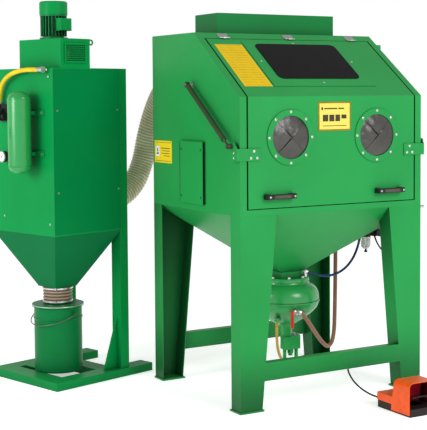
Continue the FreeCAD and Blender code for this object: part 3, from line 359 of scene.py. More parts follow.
def paint_group() -> bpy.types.NodeTree:
    """Powder coat: orange-peel skin, slow colour drift, a painted highlight on the edges, painted shade in
    corners and hollows and a trace of settled dust.

    Returns:
        The shared group.
    """
    tree = bpy.data.node_groups.new("PowderCoat", "ShaderNodeTree")
    for name, kind, start in (("Color", "NodeSocketColor", rgb(0.02, 0.38, 0.085)),
                              ("Roughness", "NodeSocketFloat", 0.36), ("Peel", "NodeSocketFloat", 0.25),
                              ("Dust", "NodeSocketFloat", 0.06), ("Gloss", "NodeSocketFloat", 0.16),
                              ("Crevice shade", "NodeSocketFloat", 1.0), ("Reach", "NodeSocketFloat", 0.16)):
        tree.interface.new_socket(name, in_out="INPUT", socket_type=kind).default_value = start
    tree.interface.new_socket("Shader", in_out="OUTPUT", socket_type="NodeSocketShader")
    s = Shader(tree)
    source = s.add("NodeGroupInput")
    target = s.add("NodeGroupOutput")
    edges = s.add("ShaderNodeGroup", node_tree=bpy.data.node_groups["EdgeFinish"])
    drift = s.noise(2.2, 4.0)
    drift = s.ramp(drift, [(0.3, (0.88, 0.9, 0.88)), (0.7, (1.06, 1.04, 1.06))])
    colour = s.mix(1.0, source.outputs["Color"], drift, "MULTIPLY")
    # Painted highlight: the colour is lifted towards a paler green along the edges.
    pale = s.mix(1.0, source.outputs["Color"], rgb(0.10, 0.12, 0.10), "ADD")
    colour = s.mix(s.math("MULTIPLY", edges.outputs["Edge"], 0.22), colour, pale)
    # Painted shade: ambient occlusion darkens the colour in corners, hollows and under parts.
    crevice_shade = s.add("ShaderNodeAmbientOcclusion", {"Distance": source.outputs["Reach"]}, samples=6)
    open_sky = s.math("POWER", crevice_shade.outputs["AO"], source.outputs["Crevice shade"])
    shade = s.ramp(open_sky, [(0.05, (0.26, 0.24, 0.26)), (0.8, (1.0, 1.0, 1.0))])
    colour = s.mix(1.0, colour, shade, "MULTIPLY")
    up = s.add("ShaderNodeSeparateXYZ", {0: s.add("ShaderNodeNewGeometry").outputs["Normal"]}).outputs[2]
    settled = s.math("MULTIPLY", s.math("MAXIMUM", up, 0.0), s.noise(38.0, 6.0))
    dust = s.math("MULTIPLY", settled, source.outputs["Dust"])
    colour = s.mix(dust, colour, rgb(0.55, 0.52, 0.45))
    rough = s.math("ADD", source.outputs["Roughness"], s.math("MULTIPLY", s.noise(14.0, 5.0), 0.08))
    rough = s.math("ADD", rough, s.math("MULTIPLY", dust, 1.5))
    peel = s.add("ShaderNodeBump", {"Strength": source.outputs["Peel"], "Distance": 0.0004,
                                    "Height": s.noise(420.0, 2.0), "Normal": edges.outputs["Normal"]})
    skin = s.add("ShaderNodeBsdfPrincipled", {"Base Color": colour, "Roughness": rough,
                                              "Normal": peel.outputs[0],
                                              "Specular IOR Level": source.outputs["Gloss"],
                                              "Coat Weight": 0.02, "Coat Roughness": 0.25})
    s.put(target, 0, skin.outputs[0])
    return tree


def material(name: str) -> tuple[bpy.types.Material, Shader]:
    """An empty node material and its builder.

    Args:
        name: Name of the new material.

    Returns:
        The material and its builder.
    """
    made = bpy.data.materials.new(name)
    made.use_nodes = True
    made.node_tree.nodes.clear()
    return made, Shader(made.node_tree)


def finish_with(s: Shader, surface: bpy.types.NodeSocket) -> None:
    """Send a shader to the material's output."""
    s.add("ShaderNodeOutputMaterial", {"Surface": surface})


@dataclass(frozen=True)
class Finish:
    """One finish: its material's name and how the material is made."""

    name: str

    def make(self) -> bpy.types.Material:
        """Build the material."""
        raise NotImplementedError


@dataclass(frozen=True)
class Paint(Finish):
    """A powder-coated finish of one colour, with painted shade in corners and hollows and a painted highlight
    on the edges.
    """

    colour: Point
    roughness: float = 0.36
    dust: float = 0.04
    gloss: float = 0.16
    # The next two fields set how strongly and how far the painted shade in corners and hollows reaches.
    crevice_shade: float = 1.0
    reach: float = 0.16

    def make(self) -> bpy.types.Material:
        """Build the material around the shared powder-coat group.

        Returns:
            The finished material.
        """
        made, s = material(self.name)
        coat = s.add("ShaderNodeGroup", {}, node_tree=bpy.data.node_groups["PowderCoat"])
        for key, value in (("Color", (*self.colour, 1.0)), ("Roughness", self.roughness), ("Dust", self.dust),
                           ("Gloss", self.gloss), ("Crevice shade", self.crevice_shade), ("Reach", self.reach)):
            s.put(coat, key, value)
        finish_with(s, coat.outputs[0])
        return made


@dataclass(frozen=True)
class Metal(Finish):
    """Bare or plated metal with fine directional marks."""

    colour: Point
    roughness: float
    stretch: Point = (40, 40, 400)

    def make(self) -> bpy.types.Material:
        """Build the material with grain drawn out along one axis.

        Returns:
            The finished material.
        """
        made, s = material(self.name)
        edges = s.add("ShaderNodeGroup", node_tree=bpy.data.node_groups["EdgeFinish"])
        place = s.add("ShaderNodeMapping", {"Vector": s.add("ShaderNodeTexCoord").outputs["Object"],
                                            "Scale": self.stretch})
        grain = s.noise(6.0, 4.0, place.outputs[0])
        tone = s.ramp(grain, [(0.2, [c * 0.78 for c in self.colour]),
                              (0.8, [min(c * 1.12, 1.0) for c in self.colour])])
        rough = s.math("ADD", s.math("MULTIPLY", grain, 0.16), self.roughness - 0.08)
        bump = s.add("ShaderNodeBump", {"Strength": 0.12, "Distance": 0.0002, "Height": grain,
                                        "Normal": edges.outputs["Normal"]})
        skin = s.add("ShaderNodeBsdfPrincipled", {"Base Color": tone, "Metallic": 1.0, "Roughness": rough,
                                                  "Normal": bump.outputs[0]})
        finish_with(s, skin.outputs[0])
        return made


@dataclass(frozen=True)
class Plastic(Finish):
    """Moulded plastic or rubber with a fine skin texture and uneven gloss."""

    colour: Point
    roughness: float
    grain: float = 700.0
    strength: float = 0.15
    sheen: float = 0.0
    gloss: float = 0.22

    def make(self) -> bpy.types.Material:
        """Build the material with a grained skin.

        Returns:
            The finished material.
        """
        made, s = material(self.name)
        edges = s.add("ShaderNodeGroup", node_tree=bpy.data.node_groups["EdgeFinish"])
        cloud = s.noise(22.0, 5.0)
        tone = s.ramp(cloud, [(0.25, [c * 0.82 for c in self.colour]),
                              (0.75, [min(c * 1.15, 1.0) for c in self.colour])])
        rough = s.math("ADD", s.math("MULTIPLY", cloud, 0.14), self.roughness - 0.07)
        bump = s.add("ShaderNodeBump", {"Strength": self.strength, "Distance": 0.0005,
                                        "Height": s.noise(self.grain, 2.0),
                                        "Normal": edges.outputs["Normal"]})
        skin = s.add("ShaderNodeBsdfPrincipled", {"Base Color": tone, "Roughness": rough,
                                                  "Normal": bump.outputs[0],
                                                  "Sheen Weight": self.sheen,
                                                  "Specular IOR Level": self.gloss})
        finish_with(s, skin.outputs[0])
        return made


@dataclass(frozen=True)
class Clear(Finish):
    """Glass or clear plastic, tinted and a little smudged."""

    colour: Point
    roughness: float
    transmission: float

    def make(self) -> bpy.types.Material:
        """Build the material with a plain transmission weight.

        Returns:
            The finished material.
        """
        made, s = material(self.name)
        smudge = s.math("ADD", s.math("MULTIPLY", s.noise(9.0, 6.0), 0.10), self.roughness)
        skin = s.add("ShaderNodeBsdfPrincipled", {"Base Color": (*self.colour, 1.0), "Roughness": smudge,
                                                  "IOR": 1.46,
                                                  "Transmission Weight": self.transmission,
                                                  "Coat Weight": 0.4,
                                                  "Coat Roughness": 0.04})
        finish_with(s, skin.outputs[0])
        return made


@dataclass(frozen=True)
class Printed(Finish):
    """A printed plate: broken grey lines on a coloured ground, with no lettering."""

    ground: Point
    ink: Point
    rows: float
    amount: float
    axis: int = 1

    def make(self) -> bpy.types.Material:
        """Build the material on the plate's own UV map.

        Returns:
            The finished material.
        """
        made, s = material(self.name)
        edges = s.add("ShaderNodeGroup", node_tree=bpy.data.node_groups["EdgeFinish"])
        place = s.add("ShaderNodeTexCoord").outputs["UV"]
        split = s.add("ShaderNodeSeparateXYZ", {0: place})
        row = s.math("FRACT", s.math("MULTIPLY", split.outputs[self.axis], self.rows))
        line = s.math("LESS_THAN", s.math("ABSOLUTE", s.math("SUBTRACT", row, 0.5)), 0.17)
        words = s.add("ShaderNodeMapping", {"Vector": place, "Scale": (22.0, 3.0, 1.0)})
        gaps = s.math("GREATER_THAN", s.noise(1.6, 3.0, words.outputs[0]), 0.47)
        edge_x = s.math("LESS_THAN", s.math("ABSOLUTE", s.math("SUBTRACT", split.outputs[0], 0.5)), 0.42)
        mask = s.math("MULTIPLY", s.math("MULTIPLY", line, gaps), s.math("MULTIPLY", edge_x, self.amount))
        fade = s.ramp(s.noise(30.0, 4.0), [(0.2, [c * 0.9 for c in self.ground]), (0.8, self.ground)])
        colour = s.mix(mask, fade, (*self.ink, 1.0))
        skin = s.add("ShaderNodeBsdfPrincipled", {"Base Color": colour, "Roughness": 0.42,
                                                  "Normal": edges.outputs["Normal"], "Coat Weight": 0.04,
                                                  "Specular IOR Level": 0.15})
        finish_with(s, skin.outputs[0])
        return made


@dataclass(frozen=True)
class Ribbed(Finish):
    """Flexible duct: a painted highlight on the ribs and painted shade in the grooves, by the piece's own rib
    attribute.
    """

    ridge: Point
    groove: Point

    def make(self) -> bpy.types.Material:
        """Build the material from groove to ridge.

        Returns:
            The finished material.
        """
        made, s = material(self.name)
        wave = s.add("ShaderNodeAttribute", attribute_name="rib").outputs["Fac"]
        between = [(a + b) / 2 for a, b in zip(self.ridge, self.groove)]
        # Painted shade and highlight: darker in the grooves, paler on the ribs.
        tone = s.ramp(wave, [(0.15, self.groove), (0.55, between), (0.9, self.ridge)])
        grime = s.ramp(s.noise(16.0, 5.0), [(0.3, (0.82, 0.80, 0.76)), (0.7, (1.05, 1.04, 1.0))])
        tone = s.mix(1.0, tone, grime, "MULTIPLY")
        bump = s.add("ShaderNodeBump", {"Strength": 0.25, "Distance": 0.0008, "Height": s.noise(260.0, 3.0)})
        skin = s.add("ShaderNodeBsdfPrincipled", {"Base Color": tone, "Roughness": 0.55,
                                                  "Normal": bump.outputs[0],
                                                  "Specular IOR Level": 0.35, "Coat Weight": 0.12,
                                                  "Coat Roughness": 0.35})
        finish_with(s, skin.outputs[0])
        return made


@dataclass(frozen=True)
class Crumpled(Finish):
    """Thin glossy rubber sheet with broad soft dents."""

    colour: Point

    def make(self) -> bpy.types.Material:
        """Build the material with dents and fine grain in one height, paler where the dents bulge out as a
        painted highlight.

        Returns:
            The finished material.
        """
        made, s = material(self.name)
        dents = s.noise(9.0, 2.0)
        fine = s.noise(85.0, 4.0)
        height = s.math("ADD", s.math("MULTIPLY", dents, 1.0), s.math("MULTIPLY", fine, 0.05))
        bump = s.add("ShaderNodeBump", {"Strength": 0.9, "Distance": 0.03, "Height": height})
        # Painted highlight: the rubber is paler where the dents bulge out.
        tone = s.ramp(dents, [(0.3, self.colour), (0.7, [c * 1.9 for c in self.colour])])
        rough = s.math("ADD", s.math("MULTIPLY", fine, 0.15), 0.26)
        skin = s.add("ShaderNodeBsdfPrincipled", {"Base Color": tone, "Roughness": rough,
                                                  "Normal": bump.outputs[0],
                                                  "Specular IOR Level": 0.6})
        finish_with(s, skin.outputs[0])
        return made


@dataclass(frozen=True)
class StrutEnd(Finish):
    """Bright rod, dark brown within a reach of the ball at its foot: the ball joint's own colour, and painted
    shadow on the rod's end.
    """

    ball_and_shadow_reach: float = 0.040

    def make(self) -> bpy.types.Material:
        """Build the material around the strut's foot.

        Returns:
            The finished material.
        """
        made, s = material(self.name)
        place = s.add("ShaderNodeSeparateXYZ", {0: s.add("ShaderNodeTexCoord").outputs["Object"]})
        away = s.add("ShaderNodeCombineXYZ", {"Y": s.math("SUBTRACT", place.outputs[1], STRUT_FOOT[0]),
                                              "Z": s.math("SUBTRACT", place.outputs[2], STRUT_FOOT[1])})
        reach = s.add("ShaderNodeVectorMath", {0: away.outputs[0]}, operation="LENGTH").outputs["Value"]
        # Dark brown near the foot: the ball joint's own colour, with painted shadow carried up the rod's end.
        near = s.math("LESS_THAN", reach, self.ball_and_shadow_reach)
        tone = s.mix(near, rgb(0.80, 0.80, 0.79), rgb(0.055, 0.035, 0.022))
        rough = s.math("ADD", s.math("MULTIPLY", near, 0.25), 0.18)
        skin = s.add("ShaderNodeBsdfPrincipled", {"Base Color": tone, "Roughness": rough,
                                                  "Metallic": s.math("SUBTRACT", 1.0, s.math("MULTIPLY", near,
                                                      0.6))})
        finish_with(s, skin.outputs[0])
        return made


FINISHES: dict[Coat, Finish] = {
    Coat.GREEN: Paint("green_coat", (0.014, 0.285, 0.060)),
    # Painted shade: a slightly darker copy of the cabinet green for the collector, which is painted the same
    # green.
    Coat.GREEN_SIDE: Paint("green_coat_collector_shaded", (0.001, 0.260, 0.056), 0.36, 0.03, 0.06),
    Coat.GREEN_DEEP: Paint("green_coat_deep", (0.003, 0.11, 0.032), 0.42),
    # Painted shade: the stand's green with far stronger and wider darkening in corners and hollows, so the
    # legs' inner faces come out dark.
    Coat.GREEN_STAND: Paint("green_coat_stand_shaded", (0.014, 0.285, 0.060), 0.36, 0.04, 0.14, 3.2, 0.32),
    # Painted shade: a darker copy of the cabinet green for the light box on the roof.
    Coat.GREEN_ROOF: Paint("green_coat_roof_shaded", (0.006, 0.185, 0.040), 0.36, 0.04, 0.10),
    Coat.GREEN_BUCKET: Paint("green_coat_bucket", (0.001, 0.165, 0.040), 0.32, 0.02, 0.08),
    Coat.GREEN_MOTOR: Paint("green_coat_motor", (0.002, 0.20, 0.050), 0.34, 0.02, 0.12),
    Coat.WIRE: Metal("bail_wire", (0.14, 0.17, 0.14), 0.4),
    Coat.STEEL: Metal("zinc_steel", (0.60, 0.62, 0.60), 0.3),
    Coat.IRON: Metal("dull_steel", (0.42, 0.41, 0.40), 0.45),
    Coat.BLACK: Plastic("black_moulding", (0.018, 0.018, 0.019), 0.42),
    Coat.STRUT: Plastic("strut_enamel", (0.03, 0.055, 0.02), 0.32, 300.0, 0.05),
    Coat.RUBBER: Crumpled("port_rubber", (0.024, 0.023, 0.019)),
    # This black serves the door's real sponge seal and also the painted shadow strips at the intake cover.
    Coat.SEAL: Plastic("seal_sponge_and_painted_shadow", (0.03, 0.03, 0.03), 0.8, 900.0, 0.5),
    Coat.GLOVE: Plastic("glove_rubber", (0.028, 0.027, 0.026), 0.5, 500.0, 0.4, 0.2),
    # Painted shade: the window is an opaque near-black sheet that stands for the dark inside of the cabinet
    # behind the glass.
    Coat.WINDOW: Plastic("window_painted_shade", (0.006, 0.007, 0.006), 0.13, 30.0, 0.0, 0.0, 0.07),
    Coat.DIFFUSER: Clear("lamp_diffuser", (0.92, 0.94, 0.95), 0.35, 0.2),
    Coat.BOWL: Clear("bowl_clear", (0.78, 0.80, 0.76), 0.08, 0.75),
    Coat.PLATE: Printed("instruction_print", (0.80, 0.53, 0.004), (0.22, 0.15, 0.01), 17.0, 0.34),
    Coat.WARNING: Printed("warning_print", (0.86, 0.64, 0.01), (0.3, 0.2, 0.01), 5.0, 0.0),
    Coat.NAME: Printed("name_print", (0.80, 0.66, 0.115), (0.16, 0.12, 0.03), 3.0, 0.0),
    Coat.NAME_RIM: Plastic("name_rim", (0.26, 0.17, 0.01), 0.45),
    Coat.INK: Plastic("ink", (0.045, 0.04, 0.02), 0.5),
    Coat.WHITE: Plastic("white_enamel", (0.82, 0.82, 0.8), 0.4),
    Coat.DUCT: Ribbed("duct_wall", (0.97, 0.84, 0.66), (0.62, 0.49, 0.36)),
    Coat.SLEEVE: Ribbed("sleeve_wall", (0.36, 0.27, 0.20), (0.10, 0.06, 0.04)),
    Coat.HOSE_BROWN: Plastic("hose_brown", (0.235, 0.115, 0.065), 0.4, 200.0, 0.08),
    Coat.HOSE_BLUE: Plastic("hose_blue", (0.008, 0.035, 0.10), 0.25, 200.0, 0.03),
    Coat.HOSE_BLACK: Plastic("hose_black", (0.014, 0.014, 0.014), 0.3, 200.0, 0.03),
    Coat.HOSE_YELLOW: Plastic("hose_yellow", (0.72, 0.50, 0.008), 0.3, 200.0, 0.04),
    Coat.HOSE_AMBER: Plastic("hose_amber", (0.43, 0.27, 0.05), 0.3, 200.0, 0.03),
    Coat.ORANGE: Plastic("guard_enamel", (0.86, 0.095, 0.010), 0.32, 260.0, 0.08),
    Coat.PEDAL_DARK: Plastic("pedal_casting", (0.022, 0.014, 0.012), 0.5),
    Coat.GREEN_GLOSS: Paint("green_coat_gloss", (0.012, 0.27, 0.055), 0.2, 0.02, 0.55),
    # Painted shade: a darker copy of the green for the panel polygons left of COLLECTOR_EDGE.
    Coat.GREEN_PANEL: Paint("green_coat_panel_shaded", (0.0005, 0.195, 0.048), 0.36, 0.03, 0.04),
    # Painted shade: a darker copy of the green for the collector's hopper and the intake cover's screws.
    Coat.GREEN_LOW: Paint("green_coat_low_shaded", (0.002, 0.145, 0.042), 0.5, 0.02, 0.03),
    Coat.LINER: Plastic("liner_red", (0.50, 0.012, 0.03), 0.3, 260.0, 0.05),
    Coat.GRIP: Plastic("grip_pad", (0.075, 0.062, 0.05), 0.5, 260.0, 0.3),
    Coat.JOINT: StrutEnd("strut_end"),
    Coat.RED: Plastic("red_grip", (0.62, 0.035, 0.02), 0.35, 300.0, 0.06),
    Coat.MEDIA: Plastic("filter_paper", (0.78, 0.76, 0.70), 0.85, 90.0, 0.5),
    Coat.GRATE: Metal("grate_steel", (0.35, 0.34, 0.33), 0.5),
}


@dataclass(frozen=True)
class Palette:
    """Every finish by its coat."""

    items: dict[Coat, bpy.types.Material]

    @classmethod
    def mixed(cls) -> Palette:
        """Make the shared groups and every material.

        Returns:
            The filled palette.
        """
        edge_group()
        paint_group()
        return cls({coat: finish.make() for coat, finish in FINISHES.items()})

    def __getitem__(self, coat: Coat) -> bpy.types.Material:
        """The material of one coat."""
        return self.items[coat]


# ---- mesh helpers ----------------------------------------------------------------------


def link(piece: bpy.types.Object) -> bpy.types.Object:
    """Put a new object in the scene."""
    bpy.context.scene.collection.objects.link(piece)
    return piece


def mesh_piece(name: str, bm: bmesh.types.BMesh, finish: bpy.types.Material, smooth: float | None = 40.0
               ) -> bpy.types.Object:
    """Turn a bmesh into a named piece with one finish; edges flatter than `smooth` degrees shade smoothly.

    Args:
        name: Name of the new piece.
        bm: The mesh being built.
        finish: The material that it gets.
        smooth: Edges flatter than this many degrees shade smoothly.

    Returns:
        The new object.
    """
    bmesh.ops.remove_doubles(bm, verts=bm.verts, dist=1e-6)
    bmesh.ops.recalc_face_normals(bm, faces=bm.faces)
    mesh = bpy.data.meshes.new(name)
    if smooth is not None:
        limit = math.radians(smooth)
        for face in bm.faces:
            face.smooth = True
        for edge in bm.edges:
            edge.smooth = len(edge.link_faces) != 2 or edge.calc_face_angle(0.0) < limit
    bm.to_mesh(mesh)
    bm.free()
    mesh.materials.append(finish)
    return link(bpy.data.objects.new(name, mesh))


def lathe(bm: bmesh.types.BMesh, profile: Sequence[tuple[float, float]], place: Place,
          steps: int = 48) -> None:
    """Spin a closed (radius, height) outline in millimetres; `place` maps local x, y, z to the row frame.

    Args:
        bm: The mesh being built.
        profile: The closed outline, as radius and height.
        place: Turns local millimetres into a place in the row frame.
        steps: Pieces in one turn.
    """
    rings = []
    for r, z in profile:
        if r < 1e-6:
            rings.append([bm.verts.new(place(0.0, 0.0, z))] * steps)
            continue
        rings.append([bm.verts.new(place(r * math.cos(math.tau * k / steps),
                                         r * math.sin(math.tau * k / steps), z))
                      for k in range(steps)])
    for lower, upper in zip(rings, rings[1:] + rings[:1]):
        for k in range(steps):
            corners = [lower[k], lower[(k + 1) % steps], upper[(k + 1) % steps], upper[k]]
            unique = list(dict.fromkeys(corners))
            if len(unique) > 2:
                bm.faces.new(unique)


def rounded_profile(points: Sequence[tuple[float, float]], radius: float, steps: int = 3
                    ) -> list[tuple[float, float]]:
    """Round the corners of a closed outline with small arcs, for rims that catch the light.

    Args:
        points: The closed outline to soften.
        radius: Radius of the arcs.
        steps: Pieces in each arc.

    Returns:
        The softened outline.
    """
    made = []
    count = len(points)
    for k in range(count):
        before, here, after = (Vector(points[(k + d) % count]) for d in (-1, 0, 1))
        inward, outward = before - here, after - here
        if here.x < 1e-6 or inward.length < 1e-6 or outward.length < 1e-6:
            made.append(tuple(here))
            continue
        reach = min(radius, inward.length * 0.45, outward.length * 0.45)
        start, end = here + inward.normalized() * reach, here + outward.normalized() * reach
        for j in range(steps + 1):
            t = j / steps
            spot = start.lerp(here, t).lerp(here.lerp(end, t), t)
            made.append((spot.x, spot.y))
    return made


def frames_along(points: Sequence[Vector]) -> list[tuple[Vector, Vector, Vector]]:
    """Two cross directions and the tangent at each point of a path, without twist.

    Args:
        points: Places along the route, in order.

    Returns:
        Two cross directions and the tangent for each point.
    """
    made = []
    side = None
    for k, here in enumerate(points):
        ahead = points[min(k + 1, len(points) - 1)] - points[max(k - 1, 0)]
        tangent = ahead.normalized()
        if side is None:
            side = tangent.orthogonal().normalized()
        side = (side - tangent * side.dot(tangent)).normalized()
        made.append((side, tangent.cross(side), tangent))
    return made


def sweep(bm: bmesh.types.BMesh, points: Sequence[Vector], radii: Sequence[float], sides: int = 24,
          closed_ends: bool = True) -> list[list[bmesh.types.BMVert]]:
    """A tube of changing radius along a path, capped at both ends.

    Args:
        bm: The mesh being built.
        points: Places along the route, in order.
        radii: The radius at each point, in metres.
        sides: Faces round the section.
        closed_ends: Whether both ends get a cap.

    Returns:
        The rings of vertices, end to end.
    """
    turns = [math.tau * k / sides for k in range(sides)]
    rings = []
    for here, radius, (u, w, _) in zip(points, radii, frames_along(points)):
        rings.append([bm.verts.new(here + (u * math.cos(t) + w * math.sin(t)) * radius) for t in turns])
    for lower, upper in zip(rings, rings[1:]):
        for k in range(sides):
            bm.faces.new((lower[k], lower[(k + 1) % sides], upper[(k + 1) % sides], upper[k]))
    if closed_ends:
        bm.faces.new(list(reversed(rings[0])))
        bm.faces.new(rings[-1])
    return rings


def block(bm: bmesh.types.BMesh, corners: Iterable[Vector]) -> None:
    """A closed hexahedron from eight corners: four below, then four above, each round the same way.

    Args:
        bm: The mesh being built.
        corners: Eight corners, four below and four above.
    """
    v = [bm.verts.new(c) for c in corners]
    for a, b, c, d in ((3, 2, 1, 0), (4, 5, 6, 7), (0, 1, 5, 4), (1, 2, 6, 5), (2, 3, 7, 6), (3, 0, 4, 7)):
        bm.faces.new((v[a], v[b], v[c], v[d]))


def slab(bm: bmesh.types.BMesh, place: Place, low: Point, high: Point) -> None:
    """A box in a local frame."""
    (x0, y0, z0), (x1, y1, z1) = low, high
    block(bm, [place(x, y, z) for z in (z0, z1) for x, y in ((x0, y0), (x1, y0), (x1, y1), (x0, y1))])


def ring_of_heads(name: str, places: Sequence[tuple[Vector, Vector]], size: float, finish: bpy.types.Material,
                  body: Body, dome: bool = False) -> bpy.types.Object:
    """Screw heads instanced on points by Geometry Nodes, then made a plain mesh for one body.

    Args:
        name: Name of the new piece.
        places: Each head's place and the way it faces.
        size: Width of one head, in millimetres.
        finish: The material that it gets.
        body: The moving body that it rides on.
        dome: Domed heads when true, hexagons when false.

    Returns:
        The plain mesh object.
    """
    cloud = bpy.data.meshes.new(name + "_points")
    cloud.from_pydata([place for place, _ in places], [], [])
    facing = cloud.attributes.new("facing", "FLOAT_VECTOR", "POINT")
    for item, (_, normal) in zip(facing.data, places):
        item.vector = normal
    holder = link(bpy.data.objects.new(name + "_points", cloud))
    tree = bpy.data.node_groups.new(name + "_nodes", "GeometryNodeTree")
    tree.interface.new_socket("Geometry", in_out="INPUT", socket_type="NodeSocketGeometry")
    tree.interface.new_socket("Head width", in_out="INPUT", socket_type="NodeSocketFloat")
    tree.interface.new_socket("Geometry", in_out="OUTPUT", socket_type="NodeSocketGeometry")
    s = Shader(tree)
    source, target = s.add("NodeGroupInput"), s.add("NodeGroupOutput")
    width = source.outputs[1]
    half = s.math("MULTIPLY", width, 0.5)
    washer = s.add("GeometryNodeMeshCylinder", {"Vertices": 20, "Radius": s.math("MULTIPLY", width, 0.78),
                                                "Depth": s.math("MULTIPLY", width, 0.14)})
    if dome:
        head = s.add("GeometryNodeMeshUVSphere", {"Segments": 14, "Rings": 8, "Radius": half})
        lifted = s.add("GeometryNodeTransform", {0: head.outputs[0], "Scale": (1.0, 1.0, 0.62)})
    else:
        head = s.add("GeometryNodeMeshCylinder", {"Vertices": 6, "Radius": half,
                                                  "Depth": s.math("MULTIPLY", width, 0.42)})
        up = s.add("ShaderNodeCombineXYZ", {"Z": s.math("MULTIPLY", width, 0.26)})
        lifted = s.add("GeometryNodeTransform", {0: head.outputs[0], "Translation": up.outputs[0]})
    joined = s.add("GeometryNodeJoinGeometry")
    s.tree.links.new(washer.outputs[0], joined.inputs[0])
    s.tree.links.new(lifted.outputs[0], joined.inputs[0])
    facing_in = s.add("GeometryNodeInputNamedAttribute", {"Name": "facing"}, data_type="FLOAT_VECTOR")
    turn = s.add("FunctionNodeAlignRotationToVector", {"Vector": facing_in.outputs[0]}, axis="Z")
    spun = s.add("FunctionNodeRotateRotation", {"Rotation": turn.outputs[0]}, rotation_space="LOCAL")
    angle = s.add("FunctionNodeRandomValue", {2: 0.0, 3: 1.05, "Seed": 7}, data_type="FLOAT")
    around = s.add("ShaderNodeCombineXYZ", {"Z": angle.outputs[1]})
    s.put(spun, "Rotate By", around.outputs[0])
    placed = s.add("GeometryNodeInstanceOnPoints", {"Points": source.outputs[0],
                                                    "Instance": joined.outputs[0],
                                                    "Rotation": spun.outputs[0]})
    real = s.add("GeometryNodeRealizeInstances", {0: placed.outputs[0]})
    dressed = s.add("GeometryNodeSetMaterial", {0: real.outputs[0], "Material": finish})
    s.put(target, 0, dressed.outputs[0])
    modifier = holder.modifiers.new("heads", "NODES")
    modifier.node_group = tree
    socket = next(i for i in tree.interface.items_tree if i.name == "Head width")
    modifier[socket.identifier] = size * MM
    evaluated = holder.evaluated_get(bpy.context.evaluated_depsgraph_get())
    mesh = bpy.data.meshes.new_from_object(evaluated)
    bpy.data.objects.remove(holder)
    piece = link(bpy.data.objects.new(name, mesh))
    if not mesh.materials:
        mesh.materials.append(finish)
    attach(piece, body.value)
    return piece


def smooth_outline(points: Sequence[tuple[float, float]], rounds: int = 2) -> list[tuple[float, float]]:
    """Corner cutting on an open outline; its two ends stay.

    Args:
        points: The open outline to soften.
        rounds: How many times the corners are cut.

    Returns:
        The softened outline.
    """
    line = [Vector(p) for p in points]
    for _ in range(rounds):
        cut = [line[0]]
        for a, b in zip(line, line[1:]):
            cut += [a.lerp(b, 0.25), a.lerp(b, 0.75)]
        line = cut + [line[-1]]
    return [tuple(p) for p in line]


def panel(name: str, place: Place, low: Point, high: Point,
          finish: bpy.types.Material, body: Body) -> bpy.types.Object:
    """A thin slab whose broad faces carry UVs from 0 to 1, for printed finishes.

    Args:
        name: Name of the new piece.
        place: Turns local millimetres into a place in the row frame.
        low: The lowest corner in the local frame.
        high: The highest corner in the local frame.
        finish: The material that it gets.
        body: The moving body that it rides on.

    Returns:
        The new object.
    """
    bm = bmesh.new()
    slab(bm, place, low, high)
    piece = mesh_piece(name, bm, finish, None)
    spans = [b - a for a, b in zip(low, high)]
    thin = spans.index(min(spans))
    across, upward = [k for k in range(3) if k != thin]
    corner = place(*low)
    steps = []
    for k in (across, upward):
        tip = list(low)
        tip[k] = high[k]
        steps.append(place(*tip) - corner)
    layer = piece.data.uv_layers.new(name="UVMap")
    for loop in piece.data.loops:
        here = piece.data.vertices[loop.vertex_index].co - corner
        layer.data[loop.index].uv = [here.dot(s) / s.length_squared for s in steps]
    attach(piece, body.value)
    return piece


# ---- hoses -----------------------------------------------------------------------------


@dataclass(frozen=True)
class HoseRoute:
    """A hose held at both ends: its node, size in millimetres, finish and route."""

    node: str
    diameter: float
    finish: Coat
    stiffness: Stiffness
    lay: Lay
    points: tuple[tuple[float, float, float], ...]
    on_collector: bool = False

    def route(self) -> list[Vector]:
        """The route's points in the row frame."""
        place = dc if self.on_collector else cab
        return [place(*p) for p in self.points]


